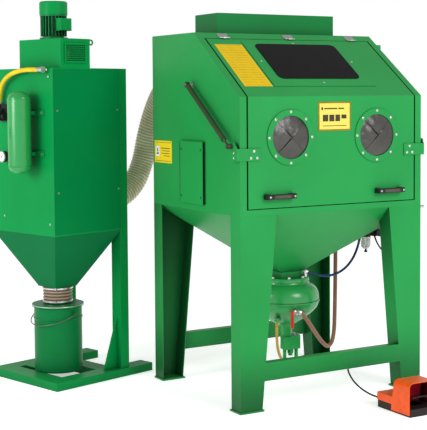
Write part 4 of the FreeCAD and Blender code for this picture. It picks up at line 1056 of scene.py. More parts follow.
DUCT = HoseRoute("duct_hose", 120.0, Coat.DUCT, Stiffness.LIMP, Lay.HANGING, (
    (-655.6, 763.5, 863), (-532.7, 798.4, 863), (-416, 828, 930), (-349, 842, 1050), (-330, 822, 1192),
    (-312, 772, 1328), (-298, 690, 1436), (-290, 580, 1490), (-290, 462.3, 1490)))
HOSES = (
    HoseRoute("blast_hose", 20.0, Coat.HOSE_BROWN, Stiffness.MEDIUM, Lay.HANGING, (
        (-36, -190, 376), (6, -176, 338), (54, -152, 288), (106, -122, 238), (154, -98, 194), (202, -74, 162),
        (244, -54, 180), (266, -40, 238), (276, -30, 320), (284, -22, 410), (290, -16, 510), (294, -12, 610),
        (296, -10, 708))),
    HoseRoute("air_hose", 12.0, Coat.HOSE_BLUE, Stiffness.MEDIUM, Lay.HANGING, (
        (76, -82, 547), (114, -88, 531), (162, -92, 522), (212, -92, 520), (262, -92, 532), (308, -92, 558),
        (344, -92, 596), (367, -93, 640), (379, -95, 680), (382, -97, 706))),
    HoseRoute("signal_hose", 8.0, Coat.HOSE_BLACK, Stiffness.MEDIUM, Lay.HANGING, (
        (446, -126, 712), (428, -162, 694), (404, -210, 676), (380, -262, 662), (364, -312, 650),
        (362, -350, 624), (368, -372, 580), (372, -376, 530))),
    HoseRoute("grit_hose", 14.0, Coat.HOSE_AMBER, Stiffness.MEDIUM, Lay.HANGING, (
        (-106, -88, 322), (-109, -91, 285), (-107, -89, 240), (-99, -82, 196), (-82, -70, 158), (-58, -54,
            130),
        (-34, -34, 116), (-8, -16, 113))),
    HoseRoute("pedal_hose", 8.0, Coat.HOSE_BLACK, Stiffness.MEDIUM, Lay.LOOSE, (
        (112, -356, 150), (110, -364, 116), (98, -400, 96), (88, -448, 76), (92, -502, 54), (112, -546, 36),
        (142, -580, 25), (168, -604.5, 20))),
    HoseRoute("pulse_hose", 22.0, Coat.HOSE_YELLOW, Stiffness.MEDIUM, Lay.HANGING, (
        (-28, 74, 1533), (-34, 140, 1536), (-38, 214, 1530), (-38, 284, 1514), (-34, 342, 1482),
        (-28, 380, 1436), (-25, 390, 1378)), True),
)


def spline_object(name: str, points: Sequence[Vector], bevel: float) -> bpy.types.Object:
    """A NURBS curve through its control route, round in section when `bevel` is set.

    Args:
        name: Name of the new piece.
        points: The control points of the route.
        bevel: Radius of the section, in metres.

    Returns:
        The curve object.
    """
    curve = bpy.data.curves.new(name, "CURVE")
    curve.dimensions = "3D"
    curve.resolution_u = 14
    curve.bevel_depth = bevel
    curve.bevel_resolution = 5
    curve.use_fill_caps = True
    spline = curve.splines.new("NURBS")
    spline.points.add(len(points) - 1)
    for spot, here in zip(spline.points, points):
        spot.co = (*here, 1.0)
    spline.order_u = 3
    spline.use_endpoint_u = True
    return link(bpy.data.objects.new(name, curve))


def spline_points(points: Sequence[Vector]) -> list[Vector]:
    """Places along the smooth route, read from a curve with no section.

    Args:
        points: The control points of the route.

    Returns:
        Places along the smooth line.
    """
    bare = spline_object("route_reader", points, 0.0)
    mesh = bpy.data.meshes.new_from_object(bare.evaluated_get(bpy.context.evaluated_depsgraph_get()))
    found = [v.co.copy() for v in mesh.vertices]
    bpy.data.objects.remove(bare)
    bpy.data.meshes.remove(mesh)
    return found


def even_points(points: Sequence[Vector], step: float) -> list[Vector]:
    """The same line, resampled at an even spacing.

    Args:
        points: Places along the route, in order.
        step: The spacing wanted, in metres.

    Returns:
        The evenly spaced places.
    """
    total = sum((b - a).length for a, b in zip(points, points[1:]))
    count = max(int(round(total / step)), 2)
    gap = total / count
    made, travelled, target = [points[0]], 0.0, gap
    for a, b in zip(points, points[1:]):
        run = (b - a).length
        while run > 0 and travelled + run >= target - 1e-9 and len(made) < count:
            made.append(a.lerp(b, (target - travelled) / run))
            target += gap
        travelled += run
    made.append(points[-1])
    return made


def rib_tube(name: str, path: Sequence[Vector], wall: float, rib: float, pitch: float,
             finish: bpy.types.Material,
             sides: int = 40) -> bpy.types.Object:
    """A ribbed flexible duct: the wall swells to a rounded rib once every pitch.

    Args:
        name: Name of the new piece.
        path: Places along the middle of the tube.
        wall: Radius in the grooves, in metres.
        rib: How far a rib stands out, in metres.
        pitch: Distance from rib to rib, in metres.
        finish: The material that it gets.
        sides: Faces round the section.

    Returns:
        The new object.
    """
    per_rib = 6
    points = even_points(path, pitch / per_rib)
    waves = [0.5 - 0.5 * math.cos(math.tau * k / per_rib) for k in range(len(points))]
    radii = [wall + rib * w for w in waves]
    bm = bmesh.new()
    layer = bm.verts.layers.float.new("rib")
    rings = sweep(bm, points, radii, sides, closed_ends=False)
    for ring, wave in zip(rings, waves):
        for vert in ring:
            vert[layer] = wave
    inner = [[bm.verts.new(v.co + (points[k] - v.co).normalized() * 0.003) for v in ring]
             for k, ring in ((0, rings[0]), (-1, rings[-1]))]
    deep = [[bm.verts.new(v.co + shift) for v in ring] for ring, shift in
            ((inner[0], (points[1] - points[0]).normalized() * 0.004),
             (inner[1], (points[-2] - points[-1]).normalized() * 0.004))]
    for end, ring, flip in ((0, rings[0], True), (1, rings[-1], False)):
        for k in range(sides):
            j = (k + 1) % sides
            for a, b in ((ring, inner[end]), (inner[end], deep[end])):
                quad = (a[k], a[j], b[j], b[k]) if not flip else (a[j], a[k], b[k], b[j])
                bm.faces.new(quad)
        bm.faces.new(deep[end] if not flip else list(reversed(deep[end])))
    return mesh_piece(name, bm, finish, 60.0)


def spline_length(points: Sequence[Vector]) -> float:
    """Length along the smooth route, to the millimetre."""
    line = spline_points(points)
    return round(sum((b - a).length for a, b in zip(line, line[1:])), 3)


# ---- sub-assemblies --------------------------------------------------------------------


@dataclass(frozen=True)
class Assembly:
    """A sub-assembly that builds its own meshes and dresses them."""

    def build(self, palette: Palette) -> None:
        """Build every piece of the sub-assembly."""
        raise NotImplementedError


@dataclass(frozen=True)
class HoseSet(Assembly):
    """Every hose along its own route, and the big ribbed duct."""

    hoses: tuple[HoseRoute, ...] = HOSES
    duct: HoseRoute = DUCT
    wall: float = 0.0555
    rib: float = 0.0045
    pitch: float = 0.0165

    def build(self, palette: Palette) -> None:
        """Lay the plain hoses, then the duct.

        Args:
            palette: Every finish by its coat.
        """
        for hose in self.hoses:
            self.lay_hose(hose, palette)
        self.lay_duct(palette)

    @staticmethod
    def declare(piece: bpy.types.Object, hose: HoseRoute, points: Sequence[Vector], **more) -> None:
        """Put a hose on the frame, hide its CAD node and work out its length, which is not kept.

        Args:
            piece: The hose's own object.
            hose: The hose's own route and sizes.
            points: Places along the route, in order.
            more: Not used.
        """
        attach(piece, Body.FRAME.value)
        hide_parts(hose.node)
        spline_length(points)

    def lay_hose(self, hose: HoseRoute, palette: Palette) -> None:
        """A smooth hose as a round curve.

        Args:
            hose: The hose's own route and sizes.
            palette: Every finish by its coat.
        """
        points = hose.route()
        piece = spline_object(hose.node + "_skin", points, hose.diameter / 2 * MM)
        piece.data.materials.append(palette[hose.finish])
        self.declare(piece, hose, points)

    def lay_duct(self, palette: Palette) -> None:
        """The ribbed duct as a mesh tube that follows its own route.

        Args:
            palette: Every finish by its coat.
        """
        points = self.duct.route()
        smooth = spline_points(points)
        piece = rib_tube("duct_hose_skin", smooth, self.wall, self.rib, self.pitch, palette[self.duct.finish])
        self.declare(piece, self.duct, points, path=smooth)


@dataclass(frozen=True)
class PlateSet(Assembly):
    """The instruction plate, the name plate with plain bars, and the warning plate with a pictogram."""

    rim: tuple[float, float, float] = (91, 1243, 1375)
    ground: tuple[float, float, float] = (84, 1250, 1368)
    bars: tuple[tuple[float, float, float, float], ...] = (
        (-58, 14, 1341, 1347), (20, 52, 1341, 1347), (-74, -64, 1338, 1350), (-66, -36, 1286, 1316),
        (-30, -2, 1286, 1316), (4, 30, 1286, 1316), (38, 66, 1298, 1316), (-66, 66, 1264, 1267))
    warning: tuple[float, float, float, float] = (217, 395, 1081, 1189)
    blank: tuple[float, float, float, float] = (344, 382, 1112, 1162)
    marks: tuple[tuple[float, float, float, float], ...] = (
        (352, 374, 1122, 1130), (358, 368, 1134, 1152), (236, 328, 1150, 1154), (236, 318, 1138, 1141),
        (236, 326, 1126, 1129), (236, 300, 1114, 1117), (225, 387, 1089, 1091), (225, 387, 1179, 1181))

    def build(self, palette: Palette) -> None:
        """Make the door's plates, then the one on the side."""
        self.door_plates(palette)
        self.warning_plate(palette)

    def door_plates(self, palette: Palette) -> None:
        """The two plates that ride on the front door.

        Args:
            palette: Every finish by its coat.
        """
        (x0, x1), (v0, v1) = CAB.instruction_x, CAB.instruction_v
        instruction = panel("instruction_plate", on_slope, (x0, v0, 0.0), (x1, v1, 1.2), palette[Coat.PLATE],
                            Body.DOOR)
        face = -CAB.half_depth
        half, low, high = self.rim
        rim = panel("name_plate_rim", cab, (-half, face - 1.2, low), (half, face, high),
                    palette[Coat.NAME_RIM],
                    Body.DOOR)
        half, low, high = self.ground
        ground = panel("name_plate_face", cab, (-half, face - 1.6, low), (half, face - 1.2, high),
                       palette[Coat.NAME], Body.DOOR)
        bm = bmesh.new()
        for a, b, low, high in self.bars:
            slab(bm, cab, (a, face - 2.0, low), (b, face - 1.6, high))
        ink = mesh_piece("name_plate_bars", bm, palette[Coat.INK], None)
        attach(ink, Body.DOOR.value)
        for piece in (instruction, rim, ground, ink):
            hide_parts("door_plates")

    def warning_plate(self, palette: Palette) -> None:
        """The plate on the cabinet's left side.

        Args:
            palette: Every finish by its coat.
        """
        side = -CAB.half_width
        y0, y1, low, high = self.warning
        base = panel("warning_plate_face", cab, (side - 1.0, y0, low), (side, y1, high),
                     palette[Coat.WARNING],
                     Body.FRAME)
        bm = bmesh.new()
        y0, y1, low, high = self.blank
        slab(bm, cab, (side - 1.15, y0, low), (side - 1.0, y1, high))
        blank = mesh_piece("warning_plate_pictogram", bm, palette[Coat.WHITE], None)
        bm = bmesh.new()
        for y0, y1, low, high in self.marks:
            slab(bm, cab, (side - 1.2, y0, low), (side - 1.1, y1, high))
        marks = mesh_piece("warning_plate_marks", bm, palette[Coat.INK], None)
        for piece in (base, blank, marks):
            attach(piece, Body.FRAME.value)
            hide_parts("warning_plate")


@dataclass(frozen=True)
class ArmPorts(Assembly):
    """The slit rubber leaves of the arm ports, the door's seal and the gloves behind."""

    rings: int = 12
    steps: int = 16
    thickness: float = 2.6
    dome: float = 14.0
    highest: float = 15.6
    full: float = CAB.port_r - 2.2
    seal_width: float = 16.0
    seal_depth: tuple[float, float] = (22.0, 25.9)
    seal_edge: float = CAB.door_half - 6.0
    glove_fill: float = 0.35
    sleeve: tuple[tuple[float, float, float, float], ...] = (
        (95, 0, 0, 1.0), (80, 60, 12, 0.98), (58, 170, 62, 0.93), (46, 260, 122, 0.88), (38, 296, 148, 0.86))
    fingers: tuple[tuple[float, float], ...] = ((74, -24), (82, -8), (80, 8), (70, 23))

    def build(self, palette: Palette) -> None:
        """Make the leaves, the seal, then the left and right gloves.

        Args:
            palette: Every finish by its coat.
        """
        self.leaves(palette)
        self.seal(palette)
        for side in (-1, 1):
            self.glove(side, palette)

    def leaf_height(self, r: float, angle: float, seed: float) -> float:
        """How far a port leaf stands out at a radius and angle: domed, with soft creases.

        Args:
            r: Distance from the port's centre.
            angle: Direction round the port.
            seed: Shifts the creases of one leaf.

        Returns:
            The height in millimetres.
        """
        full = self.full
        dome = self.dome * (1.0 - (r / full) ** 2)
        crease = 1.3 * math.sin(3.0 * angle + seed) * math.sin(math.pi * r / full)
        fold = 0.8 * math.sin(9.0 * angle + 2.3 * seed + r / 17.0) * (r / full) * (1.0 - r / full)
        return min(dome + crease + fold, self.highest)

    def leaf_rows(self, side: int, quarter: int) -> list[list[tuple[float, float, float]]]:
        """One leaf's grid of (x, height, z) places, from the rim to the slit's crossing.

        Args:
            side: -1 for the left, 1 for the right.
            quarter: Which of the four leaves it is.

        Returns:
            The grid, ring by ring.
        """
        start = math.radians(45 + 90 * quarter)
        way = 1 if (quarter + side) % 2 else -1
        rows = []
        for i in range(self.rings + 1):
            r = self.full * (1.0 - i / float(self.rings))
            slit = math.asin(min(0.9 / max(r, 2.0), 0.7))
            row = []
            for j in range(self.steps + 1):
                angle = start + slit + (math.pi / 2 - 2 * slit) * j / float(self.steps)
                curl = 2.2 * (abs(j - 8) / 8.0) ** 6 * (1 - r / self.full) * way
                out = self.leaf_height(r, angle, quarter * 1.7 + side) + curl
                row.append((side * CAB.port_x + r * math.cos(angle), out, CAB.port_z + r * math.sin(angle)))
            rows.append(row)
        return rows

    def leaves(self, palette: Palette) -> None:
        """All eight leaves as closed rubber sheets.

        Args:
            palette: Every finish by its coat.
        """
        bm = bmesh.new()
        face = -CAB.half_depth
        for side in (-1, 1):
            for quarter in range(4):
                rows = self.leaf_rows(side, quarter)
                skins = [[[bm.verts.new(cab(x, face - out + depth, z)) for x, out, z in row] for row in rows]
                         for depth in (0.0, self.thickness)]
                for k, skin in enumerate(skins):
                    for a, b in zip(skin, skin[1:]):
                        for j in range(self.steps):
                            quad = (a[j], a[j + 1], b[j + 1], b[j])
                            bm.faces.new(quad if k == 0 else tuple(reversed(quad)))
                outer, inner = skins
                for i in range(self.rings):
                    for j in (0, self.steps):
                        bm.faces.new((outer[i][j], outer[i + 1][j], inner[i + 1][j], inner[i][j]))
                for i in (0, self.rings):
                    for j in range(self.steps):
                        bm.faces.new((outer[i][j], outer[i][j + 1], inner[i][j + 1], inner[i][j]))
        leaves = mesh_piece("port_leaves", bm, palette[Coat.RUBBER], 55.0)
        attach(leaves, Body.DOOR.value)
        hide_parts("door_rubbers")

    def seal(self, palette: Palette) -> None:
        """The sponge seal round the back of the door, bent where the door bends.

        Args:
            palette: Every finish by its coat.
        """
        bm = bmesh.new()
        face = -CAB.half_depth
        edge, wide, deep = self.seal_edge, self.seal_width, self.seal_depth
        shift = deep[0] * math.tan((math.pi / 2 - CAB.slope) / 2)
        top = SLOPE_LENGTH - DOOR_START - 6.0
        low = DOOR_BOTTOM + 6.0
        slab(bm, on_slope, (-edge, top - wide, -deep[1]), (edge, top, -deep[0]))
        for s in (-1, 1):
            a, b = sorted((s * edge, s * (edge - wide)))
            slab(bm, on_slope, (a, -shift, -deep[1]), (b, top - wide, -deep[0]))
            slab(bm, cab, (a, face + deep[0], low + wide), (b, face + deep[1], CAB.bend_z - shift))
        slab(bm, cab, (-edge, face + deep[0], low), (edge, face + deep[1], low + wide))
        seal = mesh_piece("door_seal", bm, palette[Coat.SEAL], None)
        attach(seal, Body.DOOR.value)
        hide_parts("door_rubbers")

    def glove(self, side: int, palette: Palette) -> None:
        """One long glove: a rippled sleeve, a palm, four fingers and a thumb.

        Args:
            side: -1 for the left, 1 for the right.
            palette: Every finish by its coat.
        """
        x, y = side * CAB.port_x, 30.0 - CAB.half_depth
        knots = [(Vector((x * k, y + d, CAB.port_z - drop)), r) for r, d, drop, k in self.sleeve]
        points, radii = [], []
        for (a, ra), (b, rb) in zip(knots, knots[1:]):
            for k in range(14):
                t = k / 14.0
                points.append(cab(*a.lerp(b, t)))
                ripple = 1.6 * math.sin((len(points)) * 1.3) * min(1.0, len(points) / 10.0)
                radii.append((ra + (rb - ra) * t - 2.0 + ripple) * MM)
        bm = bmesh.new()
        sweep(bm, points, radii, 36)
        wrist = Vector((x * 0.86, y + 296, CAB.port_z - 148))
        ahead = (Vector(knots[-1][0]) - Vector(knots[-2][0])).normalized()
        palm = [cab(*(wrist + ahead * d)) for d in (-6, 6, 22, 40, 54)]
        sweep(bm, palm, [r * MM for r in (34, 38, 41, 38, 24)], 30)
        bend = Vector((0, 0.2, -1)).normalized()
        for reach, spread in self.fingers:
            root = wrist + ahead * 44 + Vector((spread, 0, 4))
            tip = [root, root + ahead * 16 + bend * 6, root + ahead * 22 + bend * (reach * 0.26)]
            sweep(bm, [cab(*p) for p in tip], [r * MM for r in (10.5, 9.6, 7.0)], 16)
        thumb_root = wrist + ahead * 14 + Vector((-side * 30, 0, 0))
        thumb = [thumb_root, thumb_root + ahead * 16 + Vector((-side * 9, 0, -4)), thumb_root + ahead * 30]
        sweep(bm, [cab(*p) for p in thumb], [r * MM for r in (12.5, 11.5, 8.0)], 16)
        glove = mesh_piece(f"glove_{'left' if side < 0 else 'right'}", bm, palette[Coat.GLOVE], 70.0)
        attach(glove, Body.DOOR.value)
        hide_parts("gloves")


@dataclass(frozen=True)
class DoorScrews(Assembly):
    """Screw heads on the door, instanced from one head."""

    circle: float = 114.0
    count: int = 8
    stand: float = 4.4
    bracket: tuple[tuple[float, float], ...] = ((434, 1162), (418, 1132), (450, 1132))
    flank: float = 522.4
    flank_z: tuple[float, float] = (1156, 1134)
    port_head: float = 8.2
    window_head: float = 8.0

    def build(self, palette: Palette) -> None:
        """Screws round both ports, on the corner brackets and round the window.

        Args:
            palette: Every finish by its coat.
        """
        face = -CAB.half_depth
        out = Vector((0.0, -1.0, 0.0))
        ports = []
        for side in (-1, 1):
            for k in range(self.count):
                turn = math.radians(360 / self.count * k)
                ports.append((cab(side * CAB.port_x + self.circle * math.cos(turn), face - self.stand,
                                  CAB.port_z + self.circle * math.sin(turn)), out))
            for x, z in self.bracket:
                ports.append((cab(side * x, face - self.stand, z), out))
            for z in self.flank_z:
                ports.append((cab(side * self.flank, -388, z), Vector((side, 0.0, 0.0))))
        mid = sum(CAB.window_v) / 2
        up = (on_slope(0, 0, 1) - on_slope(0, 0, 0)).normalized()
        frame = [(on_slope(u, v, 3.4), up) for u, v in ((-256, mid), (256, mid), (0, 102), (0, 421))]
        for name, places, size in (("door_screws", ports, self.port_head), ("window_screws", frame,
            self.window_head)):
            piece = ring_of_heads(name, places, size, palette[Coat.STEEL], Body.DOOR, dome=True)
            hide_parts("door_hardware")


@dataclass(frozen=True)
class BlastPot(Assembly):
    """The blast pot as one smooth pressing with a weld belt."""

    upper: Outline = ((117, 517), (117, 505), (113, 505))
    shoulder: Outline = ((113, 505), (116, 494), (130, 488), (152, 469), (164, 444), (165, 413))
    belt: Outline = ((165.2, 413), (167.6, 411.6), (168.6, 408), (167.6, 404.4), (165.2, 403))
    dish: Outline = ((165, 403), (160, 384), (146, 364), (116, 336), (76, 306), (50, 294), (36, 286), (34,
        272),
                     (34, 236))
    inner: Outline = ((26, 236), (26, 274), (30, 289), (46, 300), (70, 312), (111, 343), (140, 370), (154,
        388),
                      (159, 408), (158, 442), (148, 464), (127, 482), (105, 489), (72, 492), (60, 517))
    bead: Outline = ((166.5, 413.6), (168.3, 412.9), (168.5, 411.4), (166.6, 410.6))
    turns: int = 72

    def build(self, palette: Palette) -> None:
        """The pot's body with its outlet, then the weld bead.

        Args:
            palette: Every finish by its coat.
        """
        outline = [*self.upper, *smooth_outline(self.shoulder, 3), *self.belt, *smooth_outline(self.dish, 3),
                   *self.inner]
        bm = bmesh.new()
        lathe(bm, outline, cab, self.turns)
        slab(bm, cab, (-154, -6, 396), (154, 6, 404))
        sweep(bm, [cab(-58, -47, 330), cab(-106, -88, 330)], [11 * MM, 11 * MM], 24)
        sweep(bm, [cab(-106, -88, 340), cab(-106, -88, 322.4)], [12 * MM, 12 * MM], 24)
        piece = mesh_piece("pot_body", bm, palette[Coat.GREEN_GLOSS], 42.0)
        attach(piece, Body.FRAME.value)
        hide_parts("blast_pot")
        bm = bmesh.new()
        lathe(bm, self.bead, cab, self.turns)
        bead = mesh_piece("pot_weld", bm, palette[Coat.GREEN_DEEP], 60.0)
        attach(bead, Body.FRAME.value)


@dataclass(frozen=True)
class Collector(Assembly):
    """The collector's fine parts: bucket clamp, ribbed sleeve, gauge dial, tank seams and filter pleats."""

    centre: tuple[float, float] = (209.0, 250.0)
    ring: Outline = ((128.4, 367.6), (129.6, 368), (129.9, 369.6), (129.6, 371.4), (128.4, 372))
    sleeve_wall: float = 0.0685
    sleeve_rib: float = 0.0055
    sleeve_pitch: float = 0.0160
    dial: tuple[float, float, float] = (-46.2, 350, 1115)
    ticks: int = 11
    tank: tuple[float, float] = (-75, 161)
    seam_z: tuple[float, float] = (1076.0, 1396.0)
    pleats: int = 90
    filter_z: tuple[float, float] = (905.0, 1428.0)
    filter_r: tuple[float, float] = (112.0, 134.5)

    def build(self, palette: Palette) -> None:
        """Work up from the bucket to the filter.

        Args:
            palette: Every finish by its coat.
        """
        self.bucket_ring(palette)
        self.sleeve(palette)
        self.gauge(palette)
        self.tank_seams(palette)
        self.filter_pleats(palette)

    def around(self, x: float, y: float, z: float) -> Vector:
        """A place round the axis of the bucket, the sleeve and the filter."""
        return dc(self.centre[0] + x, self.centre[1] + y, z)

    def on_dial(self, x: float, y: float, z: float) -> Vector:
        """A place on the gauge: x across, y up, z towards the reader."""
        a, b, h = self.dial
        return dc(a - z, b - x, h + y)

    def on_tank(self, x: float, y: float, z: float) -> Vector:
        """A place round the tank's axis."""
        return dc(self.tank[0] + x, self.tank[1] + y, z)

    def bucket_ring(self, palette: Palette) -> None:
        """The clamp ring round the bucket's rim.

        Args:
            palette: Every finish by its coat.
        """
        bm = bmesh.new()
        lathe(bm, rounded_profile(self.ring, 0.4), self.around, 72)
        rim = mesh_piece("bucket_clamp_ring", bm, palette[Coat.STEEL], 60.0)
        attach(rim, Body.FRAME.value)

    def sleeve(self, palette: Palette) -> None:
        """The ribbed sleeve between hopper and bucket, and its two clamps.

        Args:
            palette: Every finish by its coat.
        """
        straight = [self.around(0, 0, 380 + 80 * k / 20.0) for k in range(21)]
        sleeve = rib_tube("sleeve_wall", straight, self.sleeve_wall, self.sleeve_rib, self.sleeve_pitch,
                          palette[Coat.SLEEVE], 56)
        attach(sleeve, Body.FRAME.value)
        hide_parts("sleeve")
        bm = bmesh.new()
        for z in (383.0, 448.0):
            band = [(74.4, z), (75.6, z + 0.6), (75.6, z + 8.4), (74.4, z + 9), (70.0, z + 9), (70.0, z)]
            lathe(bm, band, self.around, 64)
        for z in (387.5, 452.5):
            slab(bm, self.around, (-58.0, -58.0, z - 6), (-50.0, -50.0, z + 6))
        clamps = mesh_piece("sleeve_clamps", bm, palette[Coat.STEEL], 40.0)
        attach(clamps, Body.FRAME.value)

    def gauge(self, palette: Palette) -> None:
        """The gauge's white face, its bezel, its ticks and its needle.

        Args:
            palette: Every finish by its coat.
        """
        bm = bmesh.new()
        lathe(bm, [(0.0, 0.0), (23.5, 0.0), (23.5, 0.5), (0.0, 0.5)], self.on_dial, 48)
        face = mesh_piece("gauge_face", bm, palette[Coat.WHITE], 30.0)
        bm = bmesh.new()
        lathe(bm, rounded_profile([(23.5, -6), (28.4, -6), (28.4, 2.0), (23.5, 1.2)], 0.8), self.on_dial, 48)
        bezel = mesh_piece("gauge_bezel", bm, palette[Coat.IRON], 50.0)
        bm = bmesh.new()
        for k in range(self.ticks):
            turn = math.radians(225 - 27 * k)
            a, b = Vector((math.cos(turn), math.sin(turn))), Vector((-math.sin(turn), math.cos(turn)))
            corners = [a * 17 - b * 0.6, a * 21.5 - b * 0.6, a * 21.5 + b * 0.6, a * 17 + b * 0.6]
            block(bm, [self.on_dial(c.x, c.y, z) for z in (0.5, 0.7) for c in corners])
        needle = [Vector((-4, -3)), Vector((-2.6, -4.4)), Vector((13.5, 11.5)), Vector((12.6, 12.4))]
        block(bm, [self.on_dial(c.x, c.y, z) for z in (0.9, 1.3) for c in needle])
        lathe(bm, [(0.0, 0.5), (2.6, 0.5), (2.6, 1.6), (0.0, 1.6)], self.on_dial, 20)
        marks = mesh_piece("gauge_marks", bm, palette[Coat.INK], 30.0)
        for piece in (face, bezel, marks):
            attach(piece, Body.FRAME.value)

    def tank_seams(self, palette: Palette) -> None:
        """The tank's two girth welds and its blank data plate.

        Args:
            palette: Every finish by its coat.
        """
        bm = bmesh.new()
        for z in self.seam_z:
            lathe(bm, [(55.8, z - 2.0), (56.25, z - 1.0), (56.25, z + 1.0), (55.8, z + 2.0)], self.on_tank,
                  64)
        slab(bm, dc, (-131.25, 157, 1215), (-130.6, 165, 1262))
        seams = mesh_piece("tank_seams", bm, palette[Coat.GREEN_SIDE], 70.0)
        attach(seams, Body.FRAME.value)

    def filter_pleats(self, palette: Palette) -> None:
        """The pleated paper of the cartridge, and its end caps.

        Args:
            palette: Every finish by its coat.
        """
        bm = bmesh.new()
        count = 2 * self.pleats
        rings = []
        for z in self.filter_z:
            ring = []
            for k in range(count):
                turn, r = math.tau * k / count, self.filter_r[k % 2]
                ring.append(bm.verts.new(self.around(r * math.cos(turn), r * math.sin(turn), z)))
            rings.append(ring)
        for k in range(count):
            j = (k + 1) % count
            bm.faces.new((rings[0][k], rings[0][j], rings[1][j], rings[1][k]))
        paper = mesh_piece("filter_pleats", bm, palette[Coat.MEDIA], None)
        bm = bmesh.new()
        lathe(bm, [(0.0, 893.0), (138.0, 893.0), (138.0, 905.0), (0.0, 905.0)], self.around, 64)
        lathe(bm, [(100.0, 1428.0), (138.0, 1428.0), (138.0, 1440.0), (100.0, 1440.0)], self.around, 64)
        caps = mesh_piece("filter_caps", bm, palette[Coat.BLACK], 40.0)
        for piece in (paper, caps):
            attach(piece, Body.FRAME.value)
            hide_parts("filter_cartridge")


@dataclass(frozen=True)
class PedalLiner(Assembly):
    """The red lining inside the pedal's hood."""

    left: float = 97.4
    right: float = 246.6
    low: float = 34.5
    high: float = 146.6
    corner: float = 19.0
    skin: float = 0.35
    front_y: tuple[float, float] = (-831.5, -831.5)
    back_y: tuple[float, float] = (-712.5, -731.5)
    back_gap: float = 3.6

    def outline(self) -> list[tuple[float, float]]:
        """The arch of the hood's inside, from the left foot over to the right foot.

        Returns:
            The places, as x and z.
        """
        r, bends = self.corner, (0.4, 0.8, 1.2)
        line = [(self.left, self.low), (self.left, self.high - r)]
        line += [(self.left + r - r * math.cos(t), self.high - r + r * math.sin(t)) for t in bends]
        line += [(self.left + r, self.high), (self.right - r, self.high)]
        line += [(self.right - r + r * math.sin(t), self.high - r + r * math.cos(t)) for t in bends]
        return line + [(self.right, self.high - r), (self.right, self.low)]

    def build(self, palette: Palette) -> None:
        """A thin skin against the hood's inside, with a back wall.

        Args:
            palette: Every finish by its coat.
        """
        outline = self.outline()
        bm = bmesh.new()
        centre = Vector(((self.left + self.right) / 2, (self.low + self.high) / 2))
        skins = []
        for shrink in (0.0, self.skin):
            rows = []
            for (y_low, y_high), gap in ((self.front_y, 0), (self.back_y, self.back_gap)):
                row = []
                for x, z in outline:
                    inward = (centre - Vector((x, z))).normalized() * shrink
                    y = y_low + (y_high - y_low) * (z - self.low) / (self.high - self.low)
                    row.append(bm.verts.new(cab(x + inward.x, y - gap, z + inward.y)))
                rows.append(row)
            skins.append(rows)
        for rows in skins:
            for k in range(len(outline) - 1):
                bm.faces.new((rows[0][k], rows[0][k + 1], rows[1][k + 1], rows[1][k]))
        for end in (0, 1):
            for k in range(len(outline) - 1):
                bm.faces.new((skins[0][end][k], skins[0][end][k + 1], skins[1][end][k + 1], skins[1][end][k]))
        bm.faces.new(skins[1][1])
        piece = mesh_piece("pedal_liner", bm, palette[Coat.LINER], 50.0)
        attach(piece, Body.FRAME.value)


@dataclass(frozen=True)
class StandWelds(Assembly):
    """Small filler beads where the legs meet the hopper's rim."""

    inset: float = 2.0
    tuck: float = 0.998
    reach: float = 0.80
    radius: float = 0.0016
    ripple: float = 0.0005
    step: float = 0.004

    def build(self, palette: Palette) -> None:
        """One rippled bead at each corner of the cabinet.

        Args:
            palette: Every finish by its coat.
        """
        half, deep = CAB.half_width - self.inset, CAB.half_depth - self.inset
        runs = []
        for x in (-half, half):
            for y in (-deep, deep):
                runs.append([cab(x * self.tuck, y * self.tuck, CAB.bottom),
                             cab(x * self.reach, y * self.tuck, CAB.bottom)])
        bm = bmesh.new()
        for a, b in runs:
            count = max(int((b - a).length / self.step), 4)
            points = [a.lerp(b, k / count) for k in range(count + 1)]
            radii = [self.radius + self.ripple * math.sin(k * 2.1) for k in range(count + 1)]
            sweep(bm, points, radii, 8)
        piece = mesh_piece("stand_welds", bm, palette[Coat.GREEN], 60.0)
        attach(piece, Body.FRAME.value)


@dataclass(frozen=True)
class HandleGrips(Assembly):
    """Softer grey grip pads on the two pull handles, and their end screws."""

    handle_x: float = 306.0
    half: float = 44.0
    screw_x: float = 65.0
    screw_head: float = 6.0

    def build(self, palette: Palette) -> None:
        """Pads, then screws.

        Args:
            palette: Every finish by its coat.
        """
        face = -CAB.half_depth
        bm = bmesh.new()
        for side in (-1, 1):
            middle = side * self.handle_x
            slab(bm, cab, (middle - self.half, face - 40.3, 951.5), (middle + self.half, face - 39.9, 965.5))
        pads = mesh_piece("handle_pads", bm, palette[Coat.GRIP], None)
        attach(pads, Body.DOOR.value)
        screws = [(cab(side * self.handle_x + end * self.screw_x, face - 40.2, 958.5), Vector((0, -1, 0)))
                  for side in (-1, 1) for end in (-1, 1)]
        ring_of_heads("handle_screws", screws, self.screw_head, palette[Coat.STEEL], Body.DOOR, dome=True)


